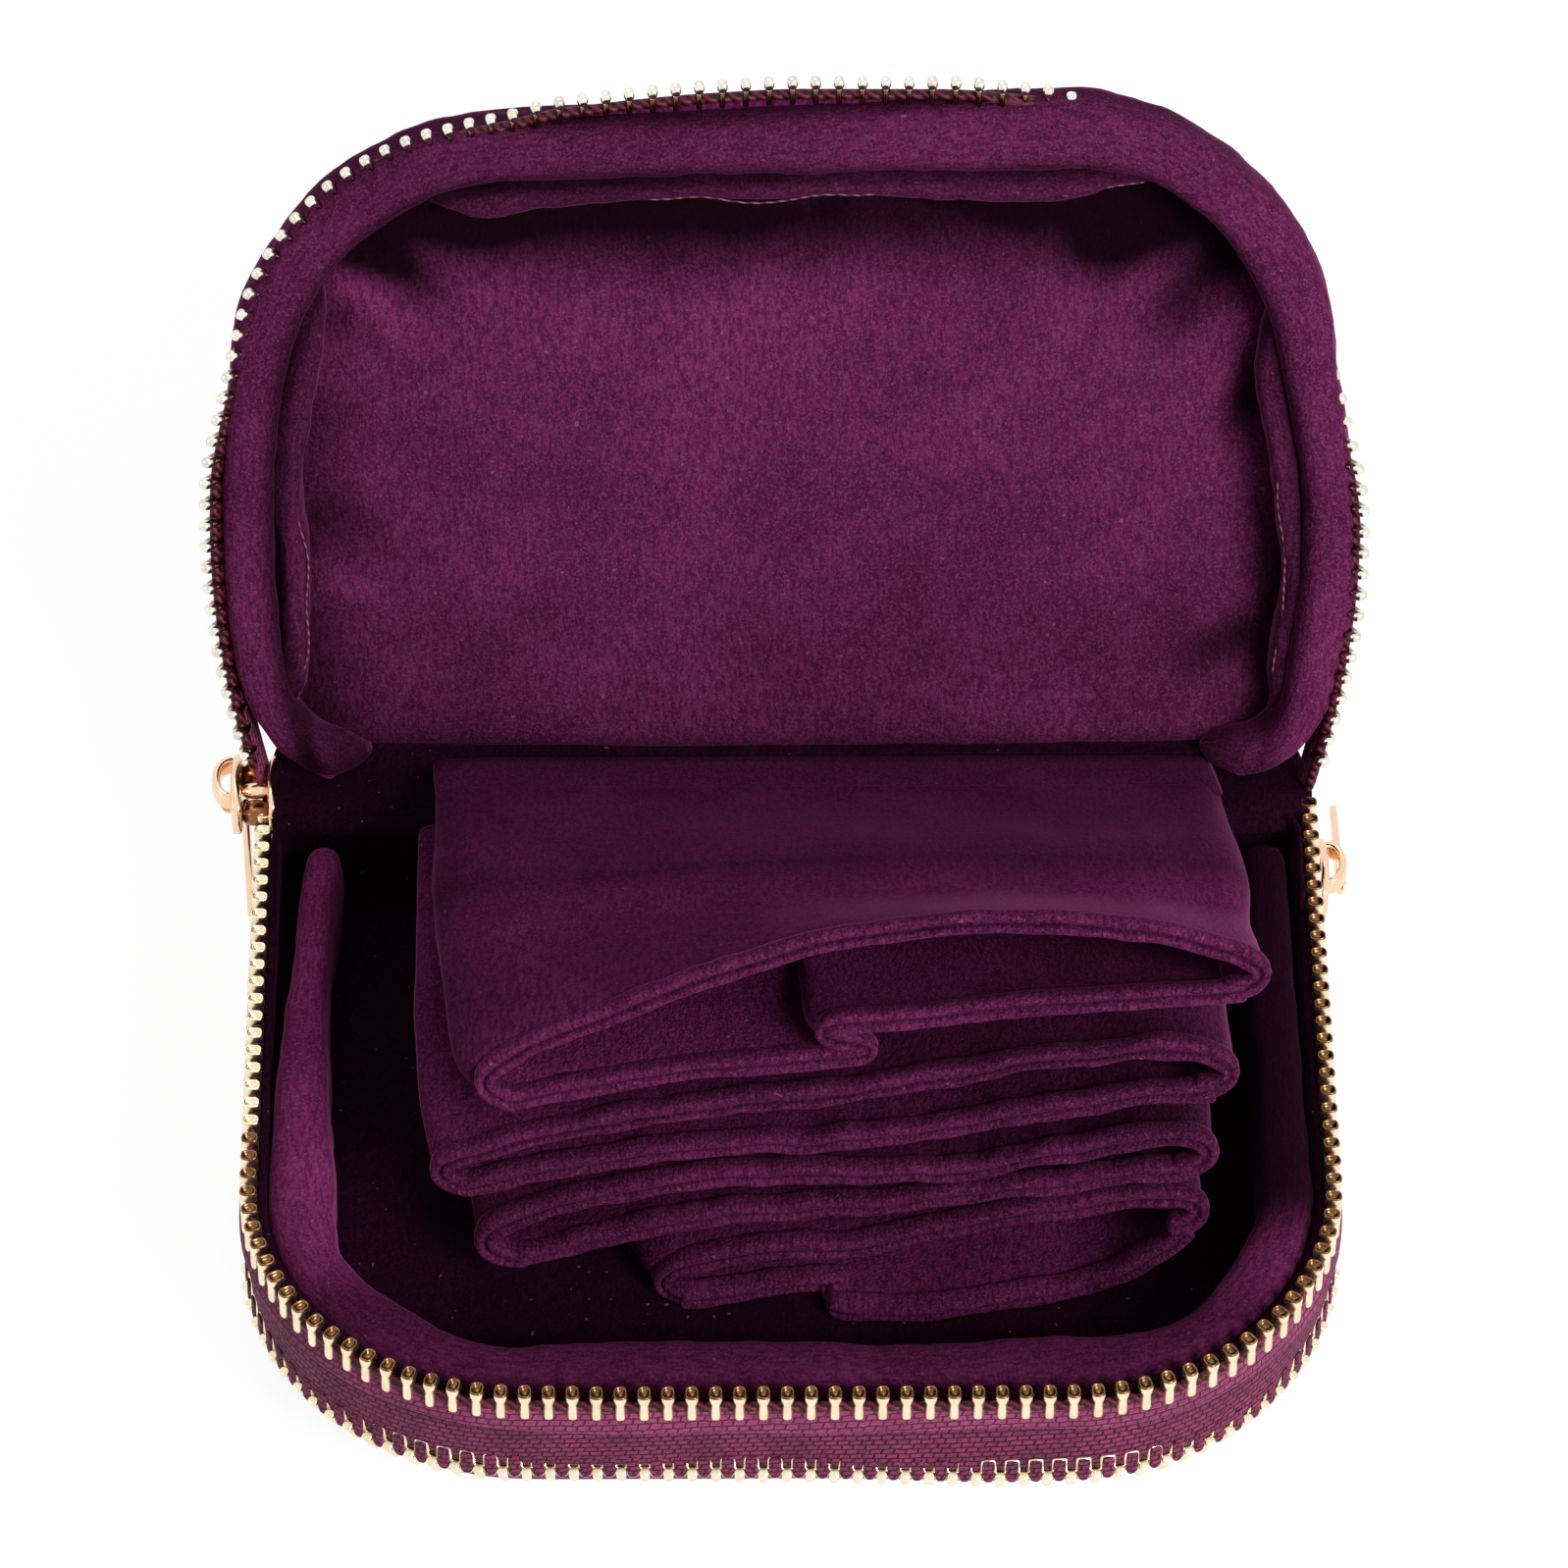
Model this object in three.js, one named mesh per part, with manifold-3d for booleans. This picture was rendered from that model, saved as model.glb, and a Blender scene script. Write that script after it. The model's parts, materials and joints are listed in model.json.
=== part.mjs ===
// Travel jewelry case in velvet: a base compartment, a tray and a lid, joined by two metal zips.
// Millimetres, +Z up. The front faces -Y and both hinges lie along the back. The case stands on z = 0.

import * as THREE from "three";
import { mergeVertices } from "three/addons/utils/BufferGeometryUtils.js";
import Module from "manifold-3d";

const wasm = await Module();
wasm.setup();

// Outline, measured on the centre line of the zip teeth
const caseWidth = 116;
const caseDepth = 83;
const frontCornerRadius = 29;
const backCornerRadius = 12;

// Heights
const lowerZipHeight = 12.3;
const zipSpacing = 13.7;
const lidHeight = 15;

// Zip chain
const toothPitch = 2.5;
const toothThickness = 1.05;
const toothOverlap = 1.5;
const toothLeg = 2.9;
const toothWidth = 2.2;
const toothHeadWidth = 1.7;
const toothGrip = 2;
const tapeThickness = 0.8;
const upperTapeReach = 6.2;
const lidTapeReach = 7.5;
const baseTapeReach = 4.2;
const chainStart = 5.4;
const hingeTeeth = 1;
const runTeeth = 18;

// Walls, rolls and boards
const shellThickness = 1.2;
const wallThickness = 1.2;
const rollWidth = 5.6;
const lidRollWidth = 5.4;
const lidRollDepth = 7.1;
const rimDrop = 0.9;
const ridgeWidth = 2.6;
const ridgeDepth = 5;
const boardThickness = 1.2;
const lidBoardThickness = 0.8;
const liningThickness = 1;
const bandThickness = 1.2;
const bandGap = 0.6;
const lidCavityShare = 0.62;
const liningCrown = 0.9;
const liningTuck = 2;
const liningHingeGap = 1;
const liningSlope = 2.5;
const clearance = 0.3;

// Curved edges of the two shells: distance from the flat face, inset at the sides, inset at the back
const baseCurve = [
  [0, 9.5, 1.5],
  [1.7, 5, 0.8],
  [5.1, 2, 0.3],
];
const lidCurve = [
  [0, 9, 5],
  [0.9, 5.2, 2.6],
  [3, 2.6, 1],
  [7, 0.7, 0.3],
];

// Padding along the rims: how far it swells, and how many waves the swelling makes
const swellDepth = 0.35;
const swellWaves = 7;
const wallEnd = 7.5;
const rollEnd = 2.5;
const lidRollEnd = 8.6;

// Pockets, hinged one on another at their back edge
const pocketCount = 4;
const panelLength = 56.5;
const panelSlant = 3;
const panelThickness = 1.1;
const hemThickness = 1.8;
const seamThickness = 1.6;
const hemWidth = 3;
const panelPitch = 2.15;
const panelTwist = 1.9;
const panelCrown = 1.1;
const panelStep = 0.2;
const upperExtra = 1.2;
const panelBow = 1.5;
const panelEdgeShare = 0.72;
const panelRows = [0.3, 0.6];
const panelCrownEnd = 0.9;
const hemRamp = 1.5;
const spineInset = 4.9;
const spineGap = 0.9;
const spineThickness = 1;
const spineDrop = 1.6;
const fanAngles = [5, 3, 2.5, 3.5, 4, 4.5, 6.5];

// Left and right edge of each pocket's panels at the back and at the front, from the lowest pocket up
const pocketSides = [
  { back: [-34, 44], front: [-15, 44] },
  { back: [-38, 44.5], front: [-33, 45] },
  { back: [-40.5, 45.5], front: [-39.5, 45.8] },
  { back: [-40, 46], front: [-37, 45.8] },
];

// Sliders and pulls
const sliderLength = 9.2;
const sliderPlate = 0.7;
const sliderMouthShare = 0.54;
const sliderPark = 1.7;
const plateRound = 1.4;
const noseLength = 2.6;
const noseHalf = 1.6;
const noseDip = 0.7;
const postInset = 0.9;
const postLength = 2.4;
const postHeight = 2.4;
const bailLength = 6.2;
const bailBar = 0.9;
const bailRise = 3.4;
const ringOuter = 1.7;
const ringWire = 0.5;
const ringWidth = 0.8;
const ringPlay = 0.15;
const eyeOuter = 1.2;
const eyeInner = 0.75;
const pullNeck = 3.4;
const pullShoulder = 2.2;
const pullLength = 15;
const pullWidth = 4.6;
const pullRound = 1.6;
const pullThickness = 1.2;
const upperPullLean = 10;
const lowerPullTurn = -88;

// How far the lid leans open, from closed
const lidOpening = 112;

// Derived places
const upperZipHeight = lowerZipHeight + zipSpacing;
const halfWidth = caseWidth / 2;
const backY = caseDepth / 2;
const sideRun = caseDepth - frontCornerRadius;
const cornerRun = (Math.PI / 2) * frontCornerRadius;
const frontRun = caseWidth - 2 * frontCornerRadius;
const cornerStart = sideRun;
const cornerEnd = sideRun + cornerRun;
const railLength = 2 * cornerEnd + frontRun;
const tipHeight = toothOverlap / 2;
const wallOuter = tapeThickness / 2 + clearance;
const wallInner = wallOuter + wallThickness;
const channelHalf = toothWidth / 2 + clearance;
const sliderHalf = channelHalf + sliderPlate;
const flangeInner = toothLeg + clearance;
const sliderHalfHeight = flangeInner + sliderPlate;
const rollOuter = sliderHalf + 1.7 * clearance;
const wallFoot = sliderHalfHeight + clearance;
const ringCentre = bailBar / 2 + ringPlay - (ringOuter - ringWire);
const eyeDrop = ringOuter - ringWire / 2 - ringCentre;

const velvet = new THREE.MeshStandardMaterial({ color: 0x6e2458, roughness: 0.95, metalness: 0 });
const liningVelvet = new THREE.MeshStandardMaterial({ color: 0x7a2b62, roughness: 0.95, metalness: 0 });
const tapeCloth = new THREE.MeshStandardMaterial({ color: 0x822d5f, roughness: 0.8, metalness: 0 });
const boardStock = new THREE.MeshStandardMaterial({ color: 0xb9a68c, roughness: 0.9, metalness: 0 });
const foamStock = new THREE.MeshStandardMaterial({ color: 0xe6e2da, roughness: 1, metalness: 0 });
const paleGold = new THREE.MeshStandardMaterial({ color: 0xebd7a5, roughness: 0.25, metalness: 1 });
const roseGold = new THREE.MeshStandardMaterial({ color: 0xf0c39b, roughness: 0.2, metalness: 1 });

// Solids and booleans

function toManifold(geometry) {
  const bare = geometry.clone();
  for (const name of Object.keys(bare.attributes)) {
    if (name !== "position") bare.deleteAttribute(name);
  }
  const merged = mergeVertices(bare, 1e-4);
  const vertProperties = new Float32Array(merged.attributes.position.array);
  const triVerts = new Uint32Array(merged.index.array);
  return new wasm.Manifold(new wasm.Mesh({ numProp: 3, vertProperties, triVerts }));
}

function toGeometry(solid) {
  const mesh = solid.getMesh();
  const geometry = new THREE.BufferGeometry();
  const positions = new Float32Array(mesh.vertProperties);
  geometry.setAttribute("position", new THREE.BufferAttribute(positions, 3));
  geometry.setIndex(new THREE.BufferAttribute(new Uint32Array(mesh.triVerts), 1));
  geometry.computeVertexNormals();
  return geometry;
}

function join(geometries) {
  return toGeometry(wasm.Manifold.union(geometries.map(toManifold)));
}

function cut(geometry, tool) {
  return toGeometry(toManifold(geometry).subtract(toManifold(tool)));
}

function geometryFrom(points, triangles) {
  const geometry = new THREE.BufferGeometry();
  geometry.setAttribute("position", new THREE.Float32BufferAttribute(points.flat(), 3));
  geometry.setIndex(triangles.flat());
  geometry.computeVertexNormals();
  return geometry;
}

function block(x0, x1, y0, y1, z0, z1) {
  const geometry = new THREE.BoxGeometry(x1 - x0, y1 - y0, z1 - z0);
  geometry.translate((x0 + x1) / 2, (y0 + y1) / 2, (z0 + z1) / 2);
  return geometry;
}

// A skin over rings of equal length, each listed counter-clockwise seen from its end, with flat caps
function skin(rings) {
  const count = rings[0].length;
  const triangles = [];
  for (let r = 0; r + 1 < rings.length; r += 1) {
    for (let i = 0; i < count; i += 1) {
      const j = (i + 1) % count;
      const low = r * count;
      const high = low + count;
      triangles.push([low + i, low + j, high + j], [low + i, high + j, high + i]);
    }
  }
  return { points: rings.flat(), triangles, count };
}

function capTriangles(flatOutline, first, flip) {
  const faces = THREE.ShapeUtils.triangulateShape(flatOutline, []);
  return faces.map((face) => {
    const corners = face.map((corner) => first + corner);
    return flip ? corners.reverse() : corners;
  });
}

// The rail is the zip's path round three sides, from the left back corner to the right back corner.
// It gives a point, and the direction that faces away from the case.
function rail(distance) {
  const half = halfWidth - frontCornerRadius;
  const frontCentre = -backY + frontCornerRadius;
  if (distance <= cornerStart) {
    return { x: -halfWidth, y: backY - distance, angle: Math.PI };
  }
  if (distance <= cornerEnd) {
    const angle = Math.PI + (distance - cornerStart) / frontCornerRadius;
    return {
      x: -half + frontCornerRadius * Math.cos(angle),
      y: frontCentre + frontCornerRadius * Math.sin(angle),
      angle,
    };
  }
  if (distance <= cornerEnd + frontRun) {
    return { x: -half + distance - cornerEnd, y: -backY, angle: 1.5 * Math.PI };
  }
  const mirrored = rail(railLength - distance);
  return { x: -mirrored.x, y: mirrored.y, angle: 3 * Math.PI - mirrored.angle };
}

function railPoint(distance, outward, height) {
  const at = rail(distance);
  return [at.x + outward * Math.cos(at.angle), at.y + outward * Math.sin(at.angle), height];
}

// Stations along the rail: the ends, and enough steps round each corner and along each straight
function stations(from, to, cornerSteps, straightSteps) {
  const breaks = [0, cornerStart, cornerEnd, cornerEnd + frontRun, railLength - cornerStart, railLength];
  const found = [from];
  for (let i = 0; i + 1 < breaks.length; i += 1) {
    const steps = i % 2 === 0 ? straightSteps : cornerSteps;
    for (let step = 1; step <= steps; step += 1) {
      const at = breaks[i] + ((breaks[i + 1] - breaks[i]) * step) / steps;
      if (at > from + 0.01 && at < to - 0.01) found.push(at);
    }
  }
  found.push(to);
  return found;
}

// A section of [outward, height] points, counter-clockwise, swept from one distance to another.
// swell, where given, changes the section from place to place.
function sweepRail(section, from, to, cornerSteps = 8, straightSteps = 1, swell = (point) => point) {
  const clockwise = [...section].reverse();
  const rings = stations(from, to, cornerSteps, straightSteps).map((distance) =>
    clockwise.map((point) => railPoint(distance, ...swell(point, distance)))
  );
  const { points, triangles, count } = skin(rings);
  const flatOutline = clockwise.map(([outward, height]) => new THREE.Vector2(outward, height));
  const last = (rings.length - 1) * count;
  triangles.push(...capTriangles(flatOutline, 0, false), ...capTriangles(flatOutline, last, true));
  return geometryFrom(points, triangles);
}

function rectangle(innerEdge, outerEdge, low, high) {
  return [
    [innerEdge, low],
    [outerEdge, low],
    [outerEdge, high],
    [innerEdge, high],
  ];
}

// A padded section: a rounded rectangle that bulges a little on every side
function paddedSection(innerEdge, outerEdge, low, high, points = 10) {
  const centre = [(innerEdge + outerEdge) / 2, (low + high) / 2];
  const half = [(outerEdge - innerEdge) / 2, (high - low) / 2];
  const squareness = 0.62;
  const section = [];
  for (let i = 0; i < points; i += 1) {
    const angle = ((i + 0.5) / points) * 2 * Math.PI;
    const across = Math.sign(Math.cos(angle)) * Math.abs(Math.cos(angle)) ** squareness;
    const up = Math.sign(Math.sin(angle)) * Math.abs(Math.sin(angle)) ** squareness;
    section.push([centre[0] + half[0] * across, centre[1] + half[1] * up]);
  }
  return section;
}

// The plan outline of a board or shell, inset from the rail, counter-clockwise
function planOutline(inset, backInset, cornerSteps = 6) {
  const outline = [];
  const arc = (centreX, centreY, radius, start) => {
    for (let step = 0; step <= cornerSteps; step += 1) {
      const angle = start + (step / cornerSteps) * (Math.PI / 2);
      outline.push([centreX + radius * Math.cos(angle), centreY + radius * Math.sin(angle)]);
    }
  };
  const side = halfWidth - inset;
  const back = backY - backInset;
  const frontRadius = frontCornerRadius - inset;
  const backRadius = Math.max(backCornerRadius - inset, 2);
  arc(-side + frontRadius, -backY + frontCornerRadius, frontRadius, Math.PI);
  arc(side - frontRadius, -backY + frontCornerRadius, frontRadius, 1.5 * Math.PI);
  arc(side - backRadius, back - backRadius, backRadius, 0);
  arc(-side + backRadius, back - backRadius, backRadius, 0.5 * Math.PI);
  return outline;
}

// A solid through plan outlines at rising or falling heights: levels are [height, inset, back inset]
function loft(levels) {
  const rising = levels[0][0] < levels.at(-1)[0] ? levels : [...levels].reverse();
  const rings = rising.map(([height, inset, backInset]) =>
    planOutline(inset, backInset).map(([x, y]) => [x, y, height])
  );
  const { points, triangles, count } = skin(rings);
  const flat = (ring) => ring.map(([x, y]) => new THREE.Vector2(x, y));
  const last = (rings.length - 1) * count;
  triangles.push(...capTriangles(flat(rings[0]), 0, true));
  triangles.push(...capTriangles(flat(rings.at(-1)), last, false));
  return geometryFrom(points, triangles);
}

// A flat board in plan
function board(inset, backInset, low, high) {
  return loft([
    [low, inset, backInset],
    [high, inset, backInset],
  ]);
}

// A padded plate: flat underneath, crowned on the other face, drawn down to its edge
function paddedPlate(inset, backInset, base, face, crown) {
  const direction = Math.sign(face - base);
  const edge = face - direction * crown;
  return loft([
    [base, inset, backInset],
    [edge, inset, backInset],
    [face - direction * crown * 0.3, inset + liningSlope, backInset + liningSlope],
    [face, inset + 3 * liningSlope, backInset + 3 * liningSlope],
  ]);
}

// Zip rows: a tape with teeth clamped on its edge. up is 1 where the teeth point up.

// A tooth has a leg on each side of its tape, or only the outer one
function toothGeometry(distance, zipHeight, up, legs) {
  const inside = legs === 2 ? 1 : 0.2;
  const section = [
    [(-toothWidth / 2) * inside, -toothLeg],
    [toothWidth / 2, -toothLeg],
    [toothHeadWidth / 2, tipHeight],
    [(-toothHeadWidth / 2) * inside, tipHeight],
  ];
  const corners = section.map(([across, height]) => new THREE.Vector2(across, up * height));
  const shape = new THREE.Shape(corners);
  const geometry = new THREE.ExtrudeGeometry(shape, { depth: toothThickness, bevelEnabled: false });
  geometry.translate(0, 0, -toothThickness / 2);
  geometry.rotateX(Math.PI / 2);
  const at = rail(distance);
  geometry.rotateZ(at.angle);
  geometry.translate(at.x, at.y, zipHeight);
  return geometry;
}

// Teeth whose numbers run from first to last, with the tape behind them
function zipRow({ zipHeight, up, first, last, reach, legs = 2, tabReach = 0 }) {
  const half = toothPitch / 2;
  const offset = up > 0 ? 0 : half;
  const placeOf = (number) => chainStart + offset + number * toothPitch;
  const from = placeOf(first) - half + clearance / 2;
  const to = placeOf(last) + half - clearance / 2;
  const top = zipHeight - up * (toothLeg - toothGrip);
  const bottom = zipHeight - up * reach;
  const across = tapeThickness / 2;
  const section = rectangle(-across, across, Math.min(top, bottom), Math.max(top, bottom));
  const pieces = [sweepRail(section, from, to)];
  for (let number = first; number <= last; number += 1) {
    pieces.push(toothGeometry(placeOf(number), zipHeight, up, legs));
  }
  if (tabReach) {
    const tabTop = zipHeight - up * (postHeight / 2 + clearance);
    const tab = rectangle(-across, across, Math.min(tabTop, bottom), Math.max(tabTop, bottom));
    const atStart = first === 0;
    const ends = atStart ? [from - tabReach, from + half] : [to - half, to + tabReach];
    pieces.push(straightTape(tab, ends, atStart));
  }
  return join(pieces);
}

// The straight tape end that runs on past the chain, through the slider
function straightTape([[inner, low], , [outer, high]], [from, to], atStart) {
  const x = atStart ? -halfWidth : halfWidth;
  const near = atStart ? backY - to : backY - railLength + from;
  const far = atStart ? backY - from : backY - railLength + to;
  return block(x + inner, x + outer, near, far, low, high);
}

const toothCount = Math.floor((railLength - 2 * chainStart) / toothPitch);
const lastTooth = toothCount - 1;
const tabReach = chainStart + sliderPark + sliderLength / 2;

// Base: a shell curved in underneath, a stiff board and a lining

const baseMouth = lowerZipHeight - wallFoot;
const baseLevels = [...baseCurve, [baseMouth, wallOuter, clearance]];

// The hollow of a pan: its levels moved in by a wall, then straight on past its mouth
function hollow(levels, wall) {
  const outward = Math.sign(levels.at(-1)[0] - levels[0][0]);
  const inner = levels.map(([height, inset, backInset]) => [height, inset + wall, backInset + wall]);
  inner[0][0] += outward * wall;
  const [height, inset, backInset] = inner.at(-1);
  return [...inner, [height + outward * wall, inset, backInset]];
}

function pan(levels, wall) {
  return cut(loft(levels), loft(hollow(levels, wall)));
}

const baseBoardLow = shellThickness + clearance;
const baseBoardHigh = baseBoardLow + lidBoardThickness;

function baseBoard() {
  const [, inset, backInset] = baseCurve[0];
  return board(inset + baseBoardLow, backInset + baseBoardLow, baseBoardLow, baseBoardHigh);
}

function baseLining() {
  const floor = baseBoardHigh + clearance;
  const share = 1 - floor / baseMouth;
  const gap = shellThickness + clearance;
  return pan(
    baseLevels.map(([height, inset, backInset]) => [floor + height * share, inset + gap, backInset + gap]),
    liningThickness
  );
}

// Hinge bands: velvet strips across the back, one for each half of each hinge

function hingeBand(low, high) {
  const half = halfWidth - backCornerRadius;
  return block(-half, half, backY - bandThickness, backY, low, high);
}

// Tray: a wall, a padded rim roll, a floor board and its lining

const trayFloorTop = lowerZipHeight + liningThickness + clearance * 2;

function trayWall() {
  const section = rectangle(-wallInner, -wallOuter, lowerZipHeight + wallFoot, upperZipHeight - wallFoot);
  return sweepRail(section, wallEnd, railLength - wallEnd);
}

// Slow waves along the inner face of a roll, as hand-sewn padding has
function rollSwell([outward, height], distance) {
  const wave = Math.sin((distance / railLength) * swellWaves * 2 * Math.PI);
  const depth = -outward - rollOuter;
  return [outward - (swellDepth * wave * depth) / rollWidth, height];
}

function rimRoll(width, low, high, end) {
  const section = paddedSection(-rollOuter - width, -rollOuter, low, high);
  return sweepRail(section, end, railLength - end, 7, 4, rollSwell);
}

function trayRimRoll() {
  return rimRoll(rollWidth, trayFloorTop + clearance, upperZipHeight - rimDrop, rollEnd);
}

function trayFloorBoard() {
  const high = lowerZipHeight + clearance;
  return board(rollOuter, bandThickness + clearance, high - boardThickness, high);
}

function trayFloorLining() {
  return board(rollOuter, bandThickness + clearance, trayFloorTop - liningThickness, trayFloorTop);
}

// Lid, made closed and then swung open about the hinge

const lidTop = upperZipHeight + lidHeight;
const lidMouth = upperZipHeight + wallFoot;
const lidLevels = [
  ...lidCurve.map(([depth, inset, backInset]) => [lidTop - depth, inset, backInset]),
  [lidMouth, wallOuter, clearance],
];
const [, lidFlatInset, lidBackInset] = lidCurve[0];
const lidBoardTop = lidTop - shellThickness - clearance;
const lidBoardBottom = lidBoardTop - lidBoardThickness;
const lidLiningFace = upperZipHeight + lidCavityShare * lidHeight;
const lidLiningBack = lidLiningFace + liningThickness;

function lidBoard() {
  return board(lidFlatInset + shellThickness, lidBackInset + shellThickness, lidBoardBottom, lidBoardTop);
}

function lidFoam() {
  return board(lidFlatInset, lidBackInset, lidLiningBack + clearance, lidBoardBottom - clearance);
}

function lidLining() {
  const inset = rollOuter + lidRollWidth - liningTuck;
  const back = bandThickness + liningHingeGap;
  return paddedPlate(inset, back, lidLiningBack, lidLiningFace - clearance, liningCrown);
}

function lidRimRoll() {
  const low = upperZipHeight + rimDrop;
  return rimRoll(lidRollWidth, low, low + lidRollDepth, lidRollEnd);
}

// The seam allowance that stands as a thin ridge inside the lid's roll
function lidSeamRidge() {
  const outer = rollOuter + lidRollWidth + swellDepth + clearance;
  const high = lidLiningFace - liningCrown - clearance;
  const section = paddedSection(-outer - ridgeWidth, -outer, high - ridgeDepth, high, 8);
  return sweepRail(section, lidRollEnd, railLength - lidRollEnd, 6, 2);
}

// Pocket panels: flat velvet with a thick sewn hem along the front edge

function pocketPanel(number) {
  const across = 12;
  const longer = number % 2 === 0 ? 0 : upperExtra;
  const length = panelLength - panelStep * (2 * pocketCount - number) + longer;
  const hemStart = 1 - hemWidth / length;
  const rows = [
    { forward: 0, thickness: seamThickness },
    ...panelRows.map((forward) => ({ forward, thickness: panelThickness })),
    { forward: hemStart - hemRamp / length, thickness: panelThickness },
    { forward: hemStart, thickness: hemThickness },
    { forward: 1, thickness: hemThickness },
  ];
  const along = rows.length - 1;
  const { back, front } = pocketSides[Math.floor(number / 2)];
  const grid = (face) =>
    rows.flatMap(({ forward, thickness }) =>
      Array.from({ length: across + 1 }, (_, i) => {
        const side = (i / across) * 2 - 1;
        const reach = length - (panelSlant / 2) * side - panelBow * side * side;
        const left = THREE.MathUtils.lerp(back[0], front[0], forward);
        const right = THREE.MathUtils.lerp(back[1], front[1], forward);
        const twist = panelTwist * side * forward * forward;
        const crown = panelCrown * (1 - side * side) * Math.sin(Math.PI * Math.min(forward, panelCrownEnd));
        const edge = Math.abs(side) === 1 ? panelEdgeShare : 1;
        const x = THREE.MathUtils.lerp(left, right, i / across);
        const z = panelThickness / 2 + twist + crown + (face * thickness * edge) / 2;
        return [x, -reach * forward, z];
      })
    );
  const top = grid(1);
  const bottom = grid(-1);
  const wide = across + 1;
  const triangles = [];
  const lower = top.length;
  for (let j = 0; j < along; j += 1) {
    for (let i = 0; i < across; i += 1) {
      const a = j * wide + i;
      const [b, c, d] = [a + 1, a + wide, a + wide + 1];
      triangles.push([a, c, d], [a, d, b]);
      triangles.push([lower + a, lower + d, lower + c], [lower + a, lower + b, lower + d]);
    }
  }
  const rim = [];
  for (let i = 0; i < across; i += 1) rim.push(i);
  for (let j = 0; j < along; j += 1) rim.push(j * wide + across);
  for (let i = across; i > 0; i -= 1) rim.push(along * wide + i);
  for (let j = along; j > 0; j -= 1) rim.push(j * wide);
  rim.forEach((a, index) => {
    const b = rim[(index + 1) % rim.length];
    triangles.push([a, b, lower + b], [a, lower + b, lower + a]);
  });
  return geometryFrom([...top, ...bottom], triangles);
}

// Slider, made for the left side with its mouth to the front. Its origin is on the zip's centre line.

function sliderPlateShape() {
  const front = -sliderLength * sliderMouthShare;
  const tail = front + sliderLength;
  const high = sliderHalfHeight;
  const shape = new THREE.Shape();
  shape.moveTo(tail, -high + plateRound);
  shape.quadraticCurveTo(tail, -high, tail - plateRound, -high);
  shape.lineTo(front + noseLength, -high);
  shape.quadraticCurveTo(front + noseDip, -high, front, -noseHalf);
  shape.quadraticCurveTo(front + noseDip, 0, front, noseHalf);
  shape.quadraticCurveTo(front + noseDip, high, front + noseLength, high);
  shape.lineTo(tail - plateRound, high);
  shape.quadraticCurveTo(tail, high, tail, high - plateRound);
  return shape;
}

// Turns a drawing in (y, z) extruded along its depth into a plate between two values of x
function extrudeAcross(shape, x0, x1, curveSegments = 5) {
  const geometry = new THREE.ExtrudeGeometry(shape, { depth: x1 - x0, bevelEnabled: false, curveSegments });
  geometry.rotateX(Math.PI / 2);
  geometry.rotateZ(Math.PI / 2);
  geometry.translate(x0, 0, 0);
  return geometry;
}

function sliderBody() {
  const front = -sliderLength * sliderMouthShare;
  const tail = front + sliderLength;
  const plate = sliderPlateShape();
  const tapeSlot = tapeThickness / 2 + clearance;
  const pieces = [
    extrudeAcross(plate, -sliderHalf, -channelHalf),
    extrudeAcross(plate, channelHalf, sliderHalf),
  ];
  const bite = sliderPlate / 3;
  const postFront = front + postInset;
  const postWide = postFront + postLength * 0.6;
  const post = new THREE.Shape();
  post.moveTo(postFront, 0);
  post.quadraticCurveTo(postFront, -postHeight / 2, postWide, -postHeight / 2);
  post.lineTo(postFront + postLength, 0);
  post.lineTo(postWide, postHeight / 2);
  post.quadraticCurveTo(postFront, postHeight / 2, postFront, 0);
  pieces.push(extrudeAcross(post, -channelHalf - bite, channelHalf + bite, 4));
  for (const side of [-1, 1]) {
    for (const face of [-1, 1]) {
      const edges = [side * tapeSlot, side * (channelHalf + bite)].sort((a, b) => a - b);
      const heights = [face * flangeInner, face * (sliderHalfHeight - bite / 10)].sort((a, b) => a - b);
      pieces.push(block(...edges, front + noseLength, tail - plateRound, ...heights));
    }
  }
  pieces.push(bailArch());
  return join(pieces);
}

// The fixed arch on the outer plate that holds the pull's ring
function bailArch() {
  const foot = sliderHalf - sliderPlate / 3;
  const crown = sliderHalf + bailRise;
  const outer = bailLength / 2;
  const inner = outer - bailBar;
  const shoulder = inner - bailBar / 2;
  const shape = new THREE.Shape();
  shape.moveTo(-outer, foot);
  shape.lineTo(-inner, foot);
  shape.lineTo(-shoulder, crown - bailBar);
  shape.lineTo(shoulder, crown - bailBar);
  shape.lineTo(inner, foot);
  shape.lineTo(outer, foot);
  shape.quadraticCurveTo(outer, crown, shoulder, crown);
  shape.lineTo(-shoulder, crown);
  shape.quadraticCurveTo(-outer, crown, -outer, foot);
  const options = { depth: bailBar, bevelEnabled: false, curveSegments: 4 };
  const geometry = new THREE.ExtrudeGeometry(shape, options);
  geometry.translate(0, 0, -bailBar / 2);
  geometry.rotateZ(Math.PI / 2);
  return geometry;
}

function circle(path, x, y, radius) {
  path.absarc(x, y, radius, 0, 2 * Math.PI, false);
  return path;
}

// The ring that hangs on the arch's bar, whose middle is its origin
function pullRing() {
  const shape = circle(new THREE.Shape(), 0, ringCentre, ringOuter);
  shape.holes.push(circle(new THREE.Path(), 0, ringCentre, ringOuter - ringWire));
  const options = { depth: ringWidth, bevelEnabled: false, curveSegments: 7 };
  const geometry = new THREE.ExtrudeGeometry(shape, options);
  geometry.translate(0, 0, -ringWidth / 2);
  geometry.rotateX(Math.PI / 2);
  return geometry;
}

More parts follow.
